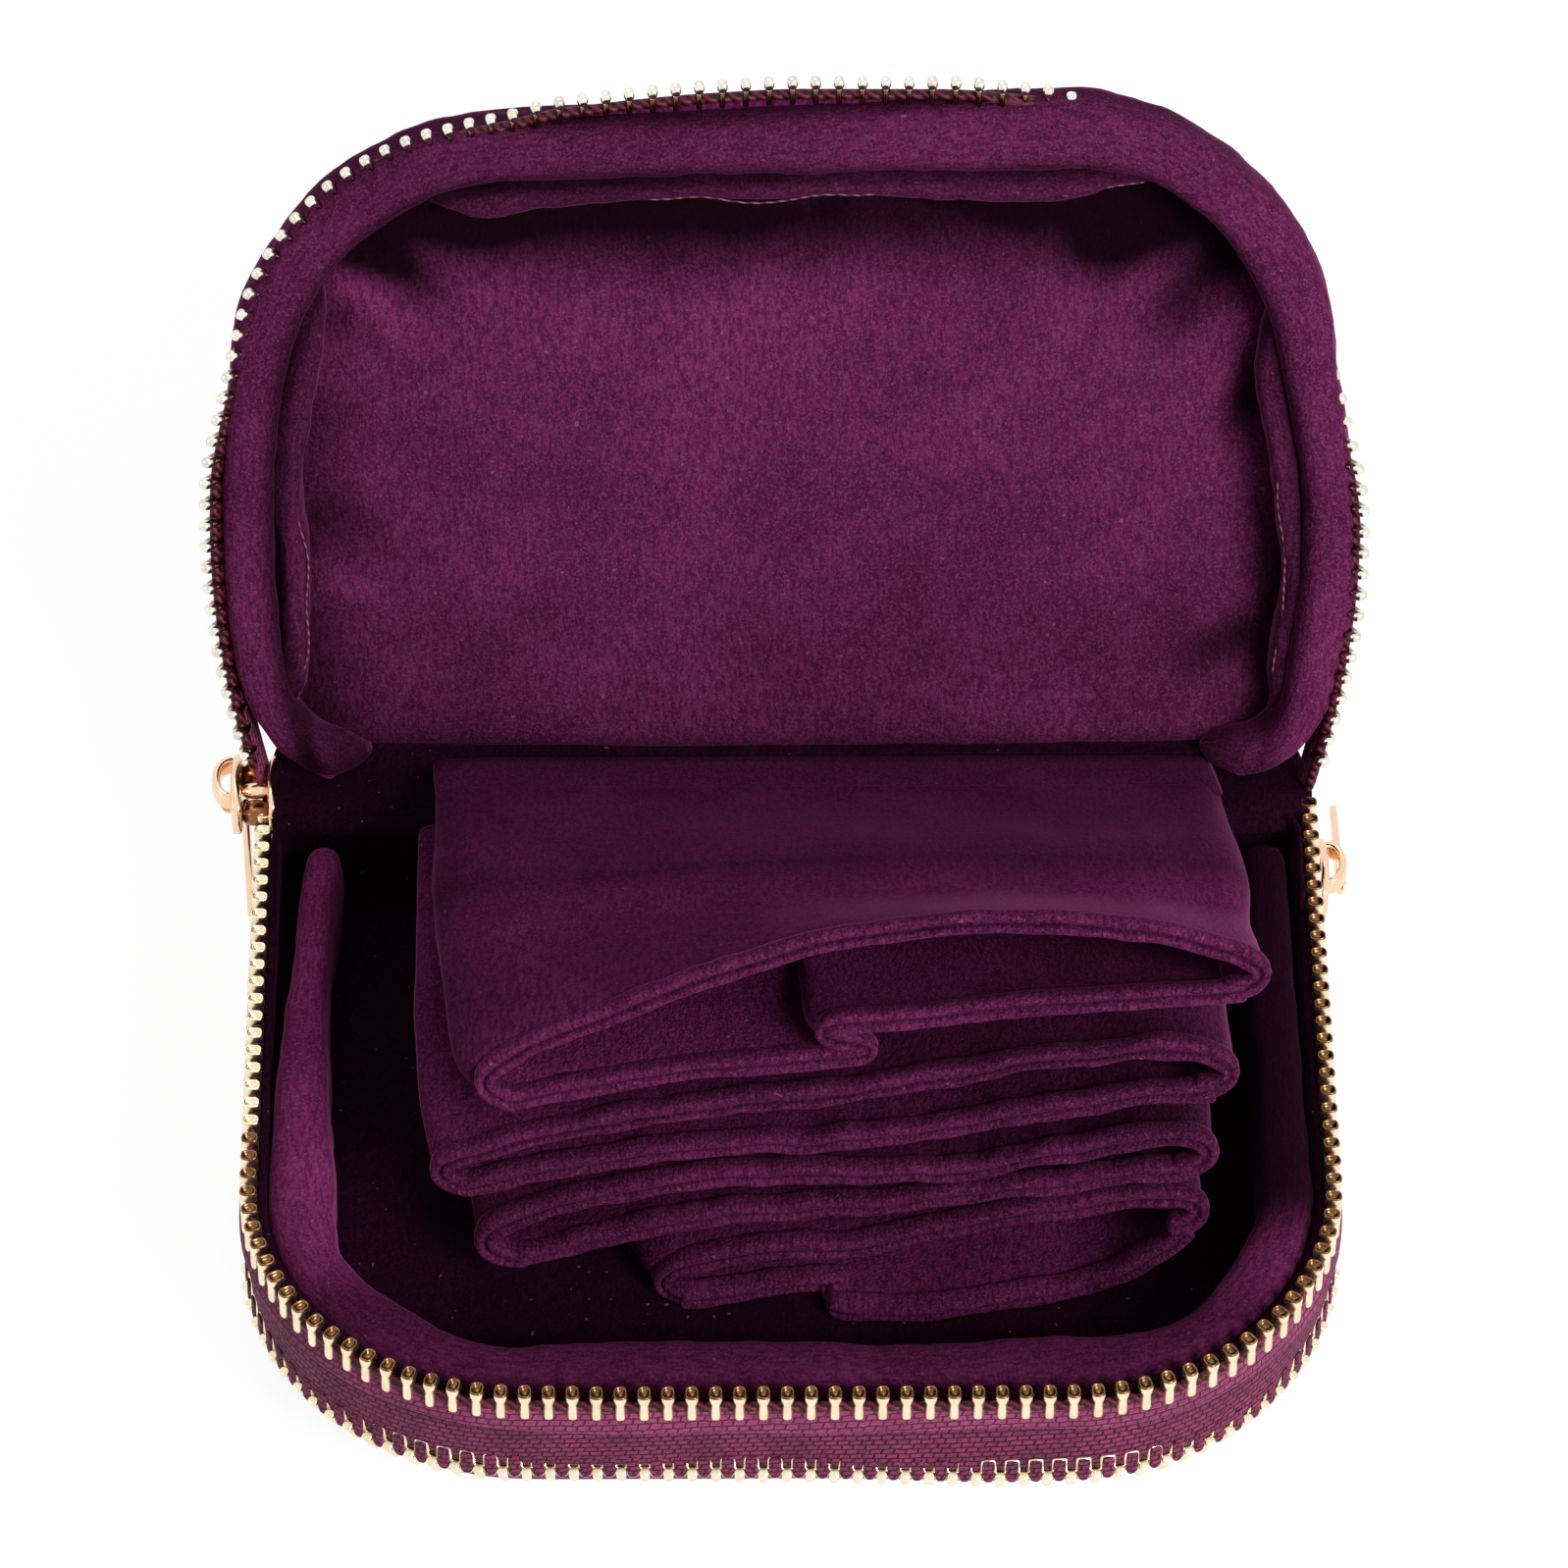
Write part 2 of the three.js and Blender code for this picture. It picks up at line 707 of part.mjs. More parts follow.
// The flat tab, whose eye turns on the lowest point of the ring. Its origin is the middle of the eye.
function pullTab() {
  const half = pullWidth / 2;
  const shape = new THREE.Shape();
  shape.absarc(0, 0, eyeOuter, 0, Math.PI, false);
  shape.lineTo(-eyeOuter, -pullNeck);
  shape.lineTo(-half, -pullNeck - pullShoulder);
  shape.lineTo(-half, -pullLength + pullRound);
  shape.quadraticCurveTo(-half, -pullLength, -half + pullRound, -pullLength);
  shape.lineTo(half - pullRound, -pullLength);
  shape.quadraticCurveTo(half, -pullLength, half, -pullLength + pullRound);
  shape.lineTo(half, -pullNeck - pullShoulder);
  shape.lineTo(eyeOuter, -pullNeck);
  shape.holes.push(circle(new THREE.Path(), 0, 0, eyeInner));
  return extrudeAcross(shape, -pullThickness / 2, pullThickness / 2, 5);
}

// Assembly

const travelCase = new THREE.Group();

function place(parent, name, geometry, material) {
  const mesh = new THREE.Mesh(geometry, material);
  mesh.name = name;
  parent.add(mesh);
  return mesh;
}

// Base
place(travelCase, "base_shell", pan(baseLevels, shellThickness), velvet);
place(travelCase, "base_board", baseBoard(), boardStock);
place(travelCase, "base_lining", baseLining(), liningVelvet);
place(travelCase, "base_hinge_band", hingeBand(baseMouth + clearance, lowerZipHeight - bandGap), velvet);

// Each row is cut between two teeth, so that the run a slider parts bends apart from the rest.
// A row starts at its slider's end, or has a tooth more there where no slider parks.
const lowerTapeReach = zipSpacing - upperTapeReach - clearance;
const baseRow = { zipHeight: lowerZipHeight, up: 1, reach: baseTapeReach, legs: 1 };
const lowerRow = { zipHeight: lowerZipHeight, up: -1, reach: lowerTapeReach, legs: 1 };
const upperRow = { zipHeight: upperZipHeight, up: 1, reach: upperTapeReach };
const lidRow = { zipHeight: upperZipHeight, up: -1, reach: lidTapeReach };
const lastOffset = lastTooth - 1;
const leftRun = { first: 0, last: runTeeth - 1 };
const rightRun = { first: lastTooth - runTeeth + 1, last: lastTooth };
const rightOffsetRun = { first: lastOffset - runTeeth + 1, last: lastOffset };
const restFromLeft = { first: runTeeth, last: lastTooth + hingeTeeth };
const restFromRight = { first: -hingeTeeth, last: lastTooth - runTeeth };
const offsetFromLeft = { first: runTeeth, last: lastOffset + hingeTeeth };
const offsetFromRight = { first: -hingeTeeth, last: lastOffset - runTeeth };
place(travelCase, "base_zip", zipRow({ ...baseRow, ...restFromRight }), paleGold);
place(travelCase, "base_zip_right_run", zipRow({ ...baseRow, ...rightRun, tabReach }), paleGold);

// Tray
place(travelCase, "tray_wall", trayWall(), tapeCloth);
place(travelCase, "tray_rim_roll", trayRimRoll(), velvet);
place(travelCase, "tray_floor_board", trayFloorBoard(), boardStock);
place(travelCase, "tray_floor_lining", trayFloorLining(), liningVelvet);
const trayBand = hingeBand(lowerZipHeight + bandGap, upperZipHeight - bandGap);
place(travelCase, "tray_hinge_band", trayBand, velvet);
place(travelCase, "tray_lower_zip", zipRow({ ...lowerRow, ...offsetFromRight }), paleGold);
place(travelCase, "tray_lower_zip_right_run", zipRow({ ...lowerRow, ...rightOffsetRun }), paleGold);
place(travelCase, "tray_upper_zip", zipRow({ ...upperRow, ...restFromLeft }), paleGold);
place(travelCase, "tray_upper_zip_left_run", zipRow({ ...upperRow, ...leftRun, tabReach }), paleGold);

// Lid
const lidHinge = new THREE.Group();
lidHinge.position.set(0, backY, upperZipHeight);
lidHinge.rotation.x = THREE.MathUtils.degToRad(-lidOpening);
travelCase.add(lidHinge);
const lid = new THREE.Group();
lid.position.set(0, -backY, -upperZipHeight);
lidHinge.add(lid);
place(lid, "lid_shell", pan(lidLevels, shellThickness), velvet);
place(lid, "lid_board", lidBoard(), boardStock);
place(lid, "lid_foam", lidFoam(), foamStock);
place(lid, "lid_lining", lidLining(), liningVelvet);
place(lid, "lid_rim_roll", lidRimRoll(), velvet);
place(lid, "lid_seam_ridge", lidSeamRidge(), liningVelvet);
place(lid, "lid_hinge_band", hingeBand(upperZipHeight + bandGap, lidMouth - clearance), velvet);
place(lid, "lid_zip", zipRow({ ...lidRow, ...offsetFromLeft }), paleGold);
place(lid, "lid_zip_left_run", zipRow({ ...lidRow, ...leftRun }), paleGold);

// Pockets: each panel turns on the one below it, and all of them stand on the tray's floor
const spineY = backY - spineInset;
const hemOverhang = (hemThickness - panelThickness) / 2;
let carrier = new THREE.Group();
carrier.position.set(0, spineY, trayFloorTop + clearance + hemOverhang + panelTwist);
travelCase.add(carrier);
const panelNames = [];
for (let pocket = pocketCount; pocket >= 1; pocket -= 1) {
  panelNames.push(`pocket_${pocket}_lower`, `pocket_${pocket}_upper`);
}
panelNames.forEach((name, number) => {
  if (number > 0) {
    const next = new THREE.Group();
    next.position.set(0, 0, panelPitch);
    next.rotation.x = THREE.MathUtils.degToRad(-fanAngles[number - 1]);
    carrier.add(next);
    carrier = next;
  }
  place(carrier, name, pocketPanel(number), velvet);
});
const [spineLeft, spineRight] = pocketSides[0].back;
const spineFront = spineY + spineGap;
const spineLow = trayFloorTop + clearance;
const spine = block(
  spineLeft,
  spineRight,
  spineFront,
  spineFront + spineThickness,
  spineLow,
  upperZipHeight - spineDrop
);
place(travelCase, "pocket_spine", spine, velvet);

// Sliders and pulls
const sliderY = backY + sliderPark;
function addSlider(name, side, zipHeight, lean, turn) {
  const slider = new THREE.Group();
  slider.position.set(side * halfWidth, sliderY, zipHeight);
  slider.rotation.z = ((1 + side) / 2) * Math.PI;
  travelCase.add(slider);
  place(slider, `${name}_slider`, sliderBody(), roseGold);
  const ring = new THREE.Group();
  ring.position.x = -sliderHalf - bailRise + bailBar / 2;
  ring.rotation.y = THREE.MathUtils.degToRad(-lean);
  slider.add(ring);
  place(ring, `${name}_pull_ring`, pullRing(), roseGold);
  const tab = new THREE.Group();
  tab.position.z = -eyeDrop;
  tab.rotation.x = THREE.MathUtils.degToRad(turn);
  ring.add(tab);
  place(tab, `${name}_pull_tab`, pullTab(), roseGold);
}
addSlider("upper", -1, upperZipHeight, upperPullLean, 0);
addSlider("lower", 1, lowerZipHeight, 0, lowerPullTurn);

export default travelCase;
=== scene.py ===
import json
import math

import bmesh
import bpy
import numpy as np
from mathutils import Matrix, Vector, noise


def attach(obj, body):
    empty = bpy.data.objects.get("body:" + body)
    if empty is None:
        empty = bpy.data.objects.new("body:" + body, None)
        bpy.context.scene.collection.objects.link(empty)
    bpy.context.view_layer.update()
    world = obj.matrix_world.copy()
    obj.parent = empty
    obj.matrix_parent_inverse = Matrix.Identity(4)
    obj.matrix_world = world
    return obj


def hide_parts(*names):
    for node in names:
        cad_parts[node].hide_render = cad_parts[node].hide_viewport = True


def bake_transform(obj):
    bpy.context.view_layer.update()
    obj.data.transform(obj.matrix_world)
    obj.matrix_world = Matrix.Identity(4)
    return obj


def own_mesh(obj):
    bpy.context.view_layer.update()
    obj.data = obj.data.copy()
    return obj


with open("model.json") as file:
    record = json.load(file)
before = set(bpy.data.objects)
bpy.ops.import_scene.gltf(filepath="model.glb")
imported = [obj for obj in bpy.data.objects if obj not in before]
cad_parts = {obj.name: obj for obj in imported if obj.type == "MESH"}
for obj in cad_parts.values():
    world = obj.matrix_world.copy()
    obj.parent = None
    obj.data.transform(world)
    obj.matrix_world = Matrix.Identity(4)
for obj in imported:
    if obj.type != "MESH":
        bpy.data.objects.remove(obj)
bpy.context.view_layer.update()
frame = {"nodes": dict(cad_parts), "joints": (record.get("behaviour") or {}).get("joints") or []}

# All shapes are worked out in millimetres and stored in metres. The front faces -Y.
MM = 0.001
HALF_WIDTH = 58.0
BACK_Y = 41.5
FRONT_RADIUS = 29.0
BACK_RADIUS = 12.0
LOWER_ZIP = 12.3
UPPER_ZIP = 26.0
LID_TOP = 41.0
LID_OPENING = math.radians(112)
LID_BOW = 4.6

SIDE_RUN = 2 * BACK_Y - FRONT_RADIUS
CORNER_RUN = math.pi / 2 * FRONT_RADIUS
FRONT_RUN = 2 * (HALF_WIDTH - FRONT_RADIUS)
RAIL = 2 * (SIDE_RUN + CORNER_RUN) + FRONT_RUN


# Places


def rail(distance, back=0.0):
    """The zip's path round three sides, from the left back corner: x, y and the outward direction.

    back is the radius of the two back corners, where distances run below 0 and past the end."""
    d = np.asarray(distance, float)
    mirror = np.where(d > RAIL / 2, -1.0, 1.0)
    s = np.where(d > RAIL / 2, RAIL - d, d)
    turn = np.clip((s - SIDE_RUN) / FRONT_RADIUS, 0, math.pi / 2)
    ahead = np.clip(s - SIDE_RUN - CORNER_RUN, 0, None)
    x = -(HALF_WIDTH - FRONT_RADIUS) - FRONT_RADIUS * np.cos(turn) + ahead
    y = BACK_Y - np.minimum(s, SIDE_RUN) - FRONT_RADIUS * np.sin(turn)
    nx, ny = -np.cos(turn), -np.sin(turn)
    if back:
        curl = np.clip((back - s) / back, 0, None)
        x = np.where(curl > 0, back - HALF_WIDTH - back * np.cos(curl), x)
        y = np.where(curl > 0, BACK_Y - back + back * np.sin(curl), y)
        nx, ny = np.where(curl > 0, -np.cos(curl), nx), np.where(curl > 0, np.sin(curl), ny)
    return mirror * x, y, mirror * nx, ny


def on_rail(distance, outward, height, back=0.0):
    x, y, nx, ny = rail(distance, back)
    return np.stack(np.broadcast_arrays(x + outward * nx, y + outward * ny, height), -1)


def about_hinge(y, z, angle):
    """Turns places about the lid's hinge."""
    y, z = y - BACK_Y, z - UPPER_ZIP
    c, s = math.cos(angle), math.sin(angle)
    return BACK_Y + y * c - z * s, UPPER_ZIP + y * s + z * c


def bow(y):
    """How much wider the open lid is than the closed one, at a depth y of the closed one."""
    skew, narrowing = 0.72, 1.5
    along = np.clip((BACK_Y - y) / (2 * BACK_Y), 0, 1) ** skew
    return 1 + LID_BOW / HALF_WIDTH * np.sin(np.pi * along) ** narrowing


def open_lid(points):
    """Moves points of the closed lid to where the open lid holds them, with its sides bowed outward."""
    x, y, z = np.moveaxis(np.asarray(points, float), -1, 0)
    return np.stack([x * bow(y), *about_hinge(y, z, -LID_OPENING)], -1)


def closed_lid(points):
    """Undoes open_lid."""
    x, y, z = np.moveaxis(np.asarray(points, float), -1, 0)
    y, z = about_hinge(y, z, LID_OPENING)
    return np.stack([x / bow(y), y, z], -1)


def rail_place(x, y):
    """The distance along the rail nearest to a place in plan, and how far inside the rail it lies."""
    side, ahead = np.abs(x) - (HALF_WIDTH - FRONT_RADIUS), FRONT_RADIUS - BACK_Y - y
    corner = (side > 0) & (ahead > 0)
    s = np.where(corner, SIDE_RUN + FRONT_RADIUS * np.arctan2(ahead, side), SIDE_RUN + CORNER_RUN - side)
    s = np.where(ahead <= 0, BACK_Y - y, s)
    inside = np.where(corner, FRONT_RADIUS - np.hypot(side, ahead), FRONT_RADIUS - ahead)
    return np.where(x < 0, s, RAIL - s), np.where(ahead <= 0, HALF_WIDTH - np.abs(x), inside)


def stay(points):
    return np.asarray(points, float)


def fbm(point, size, seed):
    """Smooth noise with detail, from -1 to 1, at a point in millimetres."""
    v = Vector((float(point[0]), float(point[1]), float(point[2]) + 37.0 * seed)) / size
    return noise.noise(v) + 0.5 * noise.noise(v * 2.1) + 0.25 * noise.noise(v * 4.3)


def smooth(t):
    t = np.clip(t, 0, 1)
    return t * t * (3 - 2 * t)


def between(table):
    """A value along the rail, from rows of (distance, value)."""
    places, values = zip(*table)
    return lambda d: np.interp(d, places, values)


def nothing(d):
    return 0.0


# Meshes


def place_in_scene(name, data):
    obj = bpy.data.objects.new(name, data)
    bpy.context.scene.collection.objects.link(obj)
    return obj


def mesh_object(name, points, faces, material, uv=None, inlay=None):
    """A subdivided mesh in metres.

    uv gives each point its place along and across, and inlay a second material to some faces."""
    mesh = bpy.data.meshes.new(name)
    mesh.from_pydata((np.asarray(points, float).reshape(-1, 3) * MM).tolist(), [], faces)
    mesh.materials.append(material)
    if uv is not None:
        corners = np.empty(len(mesh.loops), int)
        mesh.loops.foreach_get("vertex_index", corners)
        mesh.uv_layers.new(name="along").data.foreach_set("uv", np.asarray(uv, float).reshape(-1, 2)[corners].ravel())
    if inlay:
        mesh.materials.append(inlay[0])
        for index in inlay[1]:
            mesh.polygons[index].material_index = 1
    bm = bmesh.new()
    bm.from_mesh(mesh)
    bmesh.ops.recalc_face_normals(bm, faces=bm.faces)
    bm.to_mesh(mesh)
    bm.free()
    obj = place_in_scene(name, mesh)
    modifier = obj.modifiers.new("subdivision", "SUBSURF")
    modifier.levels = modifier.render_levels = 1
    bpy.context.view_layer.update()
    evaluated = obj.evaluated_get(bpy.context.evaluated_depsgraph_get())
    finished = bpy.data.meshes.new_from_object(evaluated)
    obj.modifiers.clear()
    obj.data = finished
    bpy.data.meshes.remove(mesh)
    finished.polygons.foreach_set("use_smooth", [True] * len(finished.polygons))
    return obj


def grid_faces(rows, columns, wrap=False, first=0):
    faces = []
    for r in range(rows - 1):
        for c in range(columns if wrap else columns - 1):
            a, b = r * columns + c, r * columns + (c + 1) % columns
            faces.append((first + a, first + b, first + b + columns, first + a + columns))
    return faces


def running(points):
    """How far along a line of points each point is."""
    return np.concatenate([[0], np.cumsum(np.linalg.norm(np.diff(points, axis=0), axis=1))])


def unit(vectors):
    return vectors / np.linalg.norm(vectors, axis=1)[:, None]


def tube(name, rings, material):
    """A skin over rings of points, closed round each ring and at both ends."""
    rings = np.asarray(rings, float)
    rows, columns = rings.shape[:2]
    faces = grid_faces(rows, columns, wrap=True)
    faces += [tuple(start + i for i in range(columns)) for start in (0, (rows - 1) * columns)]
    uv = np.stack(np.meshgrid(running(rings.mean(1)), running(rings[rows // 2]), indexing="ij"), -1)
    return mesh_object(name, rings, faces, material, uv)


def closed_sheet(name, top, bottom, material):
    """Two grids of the same size joined round their edge."""
    rows, columns = top.shape[:2]
    count = rows * columns
    faces = grid_faces(rows, columns) + grid_faces(rows, columns, first=count)
    rim = [*range(columns), *(r * columns + columns - 1 for r in range(1, rows))]
    rim += [(rows - 1) * columns + c for c in range(columns - 2, -1, -1)]
    rim += [r * columns for r in range(rows - 2, 0, -1)]
    faces += [(a, b, count + b, count + a) for a, b in zip(rim, rim[1:] + rim[:1])]
    points = np.concatenate([top.reshape(-1, 3), bottom.reshape(-1, 3)])
    return mesh_object(name, points, faces, material)


def two_faced(name, middle, normals, half, shift, wave, material):
    """A sheet of cloth with its faces half its thickness to both sides of a middle surface, moved by a wave."""
    faces = [middle + normals * (side * half + shift + wave)[..., None] for side in (1, -1)]
    return closed_sheet(name, *faces, material)


def sweep(name, distances, section, material, place=stay, *, swell, taper=0.0, back=0.0):
    """A section of [outward, height] points swept along the rail.

    taper rounds off both ends, and swell moves each ring."""
    section = np.asarray(section, float)
    centre = section.mean(0)
    rings = []
    for d in distances:
        ends = min(d - distances[0], distances[-1] - d)
        size = math.sqrt(max(0.02, 1 - (1 - min(1, ends / taper)) ** 2)) if taper else 1.0
        ring = swell(centre + (section - centre) * size, d)
        rings.append(on_rail(d, ring[:, 0], ring[:, 1], back))
    return tube(name, place(np.array(rings)), material)


def stations(start, end, step):
    return np.linspace(start, end, max(2, int(round((end - start) / step)) + 1))


def rounded(count, square):
    """Points round a circle that a power under 1 draws out toward a square: along one axis, and along the other."""
    angle = (np.arange(count) + 0.5) / count * 2 * math.pi
    return [np.sign(v) * np.abs(v) ** square for v in (np.cos(angle), np.sin(angle))]


def oval(inner, outer, low, high, count, square):
    across, up = rounded(count, square)
    return np.stack(
        [(inner + outer) / 2 + (outer - inner) / 2 * across, (low + high) / 2 + (high - low) / 2 * up], 1
    )


def plan(inset, back_inset, height, rear):
    """A ring of the case's outline, inset from the zip, with the same number of points at any inset."""
    side, back = HALF_WIDTH - inset, BACK_Y - back_inset
    front, rear = max(FRONT_RADIUS - inset, 3), max(rear - inset, 2)
    steps = 9
    corners = []
    for cx, cy, radius, quarter in (
        (front - side, -BACK_Y + inset + front, front, 2),
        (side - front, -BACK_Y + inset + front, front, 3),
        (side - rear, back - rear, rear, 0),
        (rear - side, back - rear, rear, 1),
    ):
        turn = quarter * math.pi / 2 + np.linspace(0, math.pi / 2, steps)
        corners.append(np.stack([cx + radius * np.cos(turn), cy + radius * np.sin(turn)], 1))
    ring = []
    for arc, following in zip(corners, corners[1:] + corners[:1]):
        ring += [arc, arc[-1] + (following[0] - arc[-1]) * np.linspace(0, 1, steps)[1:-1, None]]
    flat = np.concatenate(ring)
    return np.column_stack([flat, np.full(len(flat), float(height))])


def shell(name, levels, crowns, material, place=stay, rear=BACK_RADIUS):
    """A pan through levels of (height, inset, back inset), from one face to the other, closed by crowned faces."""
    rings = [plan(inset, back, height, rear) for height, inset, back in levels]
    for ring, crown, ahead in ((rings[0], crowns[0], True), (rings[-1], crowns[1], False)):
        middle = ring.mean(0)
        for share in (0.86, 0.66, 0.42, 0.18):
            inner = middle + (ring - middle) * share
            inner[:, 2] = ring[0, 2] + crown * (1 - share**2)
            rings = [inner, *rings] if ahead else [*rings, inner]
    return tube(name, place(np.array(rings)), material)


def wrinkle(obj, depth, size, seed):
    """Moves each point along its normal by smooth noise, as pile and padding do."""
    for v in obj.data.vertices:
        v.co += v.normal * (depth * MM * fbm([c / MM for c in v.co], size, seed))
    obj.data.update()


def shade(obj, amount):
    """Stores painted shade: how much darker the pile looks at each point, from 0 to 1, worked out from the points in
    millimetres.
    """
    mesh = obj.data
    points = np.empty(3 * len(mesh.vertices))
    mesh.vertices.foreach_get("co", points)
    values = np.broadcast_to(amount(points.reshape(-1, 3) / MM), len(mesh.vertices))
    mesh.attributes.new("shade", "FLOAT", "POINT").data.foreach_set("value", np.array(values, float))


# Materials


class Nodes:
    """A short way to add and join the nodes of one tree."""

    def __init__(self, tree):
        self.tree = tree

    def plug(self, socket, value):
        if isinstance(value, bpy.types.NodeSocket):
            self.tree.links.new(value, socket)
        else:
            socket.default_value = value

    def add(self, kind, inputs=(), output=0, **settings):
        """Adds a node and gives one of its outputs."""
        node = self.tree.nodes.new("ShaderNode" + kind)
        for key, value in settings.items():
            setattr(node, key, value)
        for key, value in dict(inputs).items():
            self.plug(node.inputs[key], value)
        return node.outputs[output]

    def mapped(self, scale=(1, 1, 1), source="Object"):
        return self.add("Mapping", {"Vector": self.add("TexCoord", output=source), "Scale": scale})

    def noise(self, vector, scale, detail=2.0, rough=0.5, output=0):
        return self.add(
            "TexNoise", {"Vector": vector, "Scale": scale, "Detail": detail, "Roughness": rough}, output
        )

    def ramp(self, value, low, high, start=0.0, end=1.0):
        return self.add("MapRange", {"Value": value, "From Min": low, "From Max": high, "To Min": start, "To Max": end})

    def mix(self, factor, a, b):
        a, b = (value if isinstance(value, bpy.types.NodeSocket) else (*value, 1) for value in (a, b))
        return self.add("Mix", {0: factor, 6: a, 7: b}, 2, data_type="RGBA")

    def math(self, operation, a, b=0.0):
        return self.add("Math", {0: a, 1: b}, operation=operation)

    def bump(self, height, distance, strength, under=None):
        inputs = {"Height": height, "Distance": distance * MM, "Strength": strength}
        return self.add("Bump", inputs if under is None else inputs | {"Normal": under})


class Material(Nodes):
    def __init__(self, name):
        self.material = bpy.data.materials.new(name)
        self.material.use_nodes = True
        super().__init__(self.material.node_tree)
        self.shader = self.tree.nodes["Principled BSDF"]

    def finish(self, color, normal, **values):
        self.tree.links.new(normal, self.shader.inputs["Normal"])
        for key, value in ({"Base_Color": color} | values).items():
            self.plug(self.shader.inputs[key.replace("_", " ")], value)
        return self.material


def velvet(name, deep, lit, edge, rib=(2100, 700, 700), sheen=0.06, uv=False, groove=None):
    """Short-pile velvet: patches where the pile leans, knitted ribs, lint, painted sheen that brightens it at grazing
    angles, and painted shade from the shade attribute.

    uv lays the ribs along and across the piece, and groove is how far across it a seam lies, with painted shade in it."""
    n = Material(name)
    plain = n.mapped()
    lean = n.noise(plain, 62, 4, 0.62)
    ribs = n.noise(n.mapped(rib, "UV" if uv else "Object"), 1, 2, 0.65)
    grain = n.noise(plain, 3000, 2, 0.75)
    facing = n.add("LayerWeight", {"Blend": 0.5}, "Facing")
    body = n.mix(n.ramp(lean, 0.32, 0.68, 0.22, 0.92), deep, lit)
    body = n.mix(n.ramp(ribs, 0.42, 0.58, 0, 0.72), body, deep)
    body = n.mix(n.ramp(grain, 0.48, 0.68, 0, 0.34), body, edge)
    # Painted sheen: toward grazing angles the colour turns to the brighter edge colour.
    body = n.mix(n.ramp(facing, 0.70, 1.0, 0, 0.9), body, edge)
    lint = n.ramp(n.noise(plain, 1500, 0, 0.5), 0.83, 0.86, 0, 0.4)
    body = n.mix(lint, body, LINT)
    height = n.math("ADD", n.math("MULTIPLY", ribs, 0.8), n.math("MULTIPLY", grain, 0.8))
    # Painted shade, stored per point by shade().
    dark = n.add("Attribute", output="Fac", attribute_name="shade")
    if groove:
        off = n.math("ABSOLUTE", n.math("SUBTRACT", n.add("SeparateXYZ", {0: n.mapped(source="UV")}, "Y"), groove))
        # Painted shade in the seam's groove, which also sinks the groove's bump.
        seam = n.ramp(off, 0.06, 0.60, 0.62, 0.0)
        dark = n.math("MAXIMUM", dark, seam)
        height = n.math("SUBTRACT", height, seam)
    return n.finish(
        n.mix(dark, body, tuple(0.06 * c for c in deep)),
        n.bump(height, 0.30, 0.85, n.bump(lean, 1.4, 0.35)),
        Roughness=0.92,
        Specular_IOR_Level=0.04,
        Sheen_Weight=sheen,
        Sheen_Roughness=0.30,
        Sheen_Tint=(0.90, 0.20, 0.64, 1),
    )


def woven(name, dark, bright, shine):
    """Zip tape: short raised yarns in slanting rows, as a twill shows them."""
    n = Material(name)
    place = n.mapped(source="UV")
    x, y = (n.add("SeparateXYZ", {0: place}, axis) for axis in "XY")
    along = n.math("ADD", x, n.math("MULTIPLY", y, 0.24))
    slant = n.add("CombineXYZ", {"X": along, "Y": n.math("ADD", y, n.math("MULTIPLY", along, 0.045))})
    stir = n.noise(slant, 0.9, 1.0, output="Color")
    stir = n.add("VectorMath", {0: stir, 1: (0.5, 0.5 * 0.6, 0)}, operation="MULTIPLY")
    yarns = n.add(
        "TexBrick",
        {
            "Vector": n.add("VectorMath", {0: slant, 1: stir}, operation="ADD"),
            "Scale": 1.0,
            "Mortar Size": 0.13,
            "Mortar Smooth": 0.5,
            "Bias": 0.0,
            "Brick Width": 1.25,
            "Row Height": 0.74,
        },
        "Fac",
    )
    fuzz = n.noise(n.mapped(), 2200, 2, 0.65)
    patch = n.noise(n.mapped(), 160, 2, 0.5)
    raised = n.ramp(yarns, 0.0, 1.0, 1.0, 0.0)
    body = n.mix(n.math("MULTIPLY", raised, n.ramp(patch, 0.35, 0.65, 0.55, 1.0)), dark, bright)
    body = n.mix(n.ramp(fuzz, 0.42, 0.7, 0, 0.6), body, dark)
    # Painted shade, stored per point by shade(), darkens the tape.
    return n.finish(
        n.mix(n.add("Attribute", output="Fac", attribute_name="shade"), body, tuple(0.3 * c for c in dark)),
        n.bump(n.math("ADD", raised, n.math("MULTIPLY", fuzz, 0.7)), 0.22, 0.9),
        Roughness=0.72,
        Specular_IOR_Level=0.25,
        Sheen_Weight=shine,
        Sheen_Roughness=0.35,
        Sheen_Tint=(0.95, 0.5, 0.72, 1),
    )


def twisted(name, dark, bright):
    """Shiny cord: slanting plies with a soft gloss."""
    n = Material(name)
    plies = n.add(
        "TexWave",
        {"Vector": n.mapped(), "Scale": 420.0, "Distortion": 1.2, "Detail": 1.0},
        "Fac",
        wave_type="BANDS",
        bands_direction="DIAGONAL",
    )
    body = n.mix(n.ramp(plies, 0.2, 0.9), dark, bright)
    return n.finish(body, n.bump(plies, 0.2, 0.8), Roughness=0.42, Specular_IOR_Level=0.22)


def gold(name, bright, dark, rough, scratch):
    """Plated metal with slightly uneven polish and faint wear."""
    n = Material(name)
    patch = n.noise(n.mapped(), 420, 3, 0.6)
    marks = n.noise(n.mapped((400, 3200, 400)), 1, 2, 0.5)
    body = n.mix(n.ramp(patch, 0.35, 0.75, 0, 0.55), bright, dark)
    worn = n.ramp(patch, 0.3, 0.8, rough, rough + 0.14)
    return n.finish(body, n.bump(marks, scratch, 0.4), Metallic=1.0, Roughness=worn)


def card(name, pale, dark, scale, rough):
    """Board and foam that stay inside the covers."""
    n = Material(name)
    fibre = n.noise(n.mapped(), scale, 4, 0.7)
    return n.finish(n.mix(n.ramp(fibre, 0.3, 0.7), dark, pale), n.bump(fibre, 0.2, 0.6), Roughness=rough)


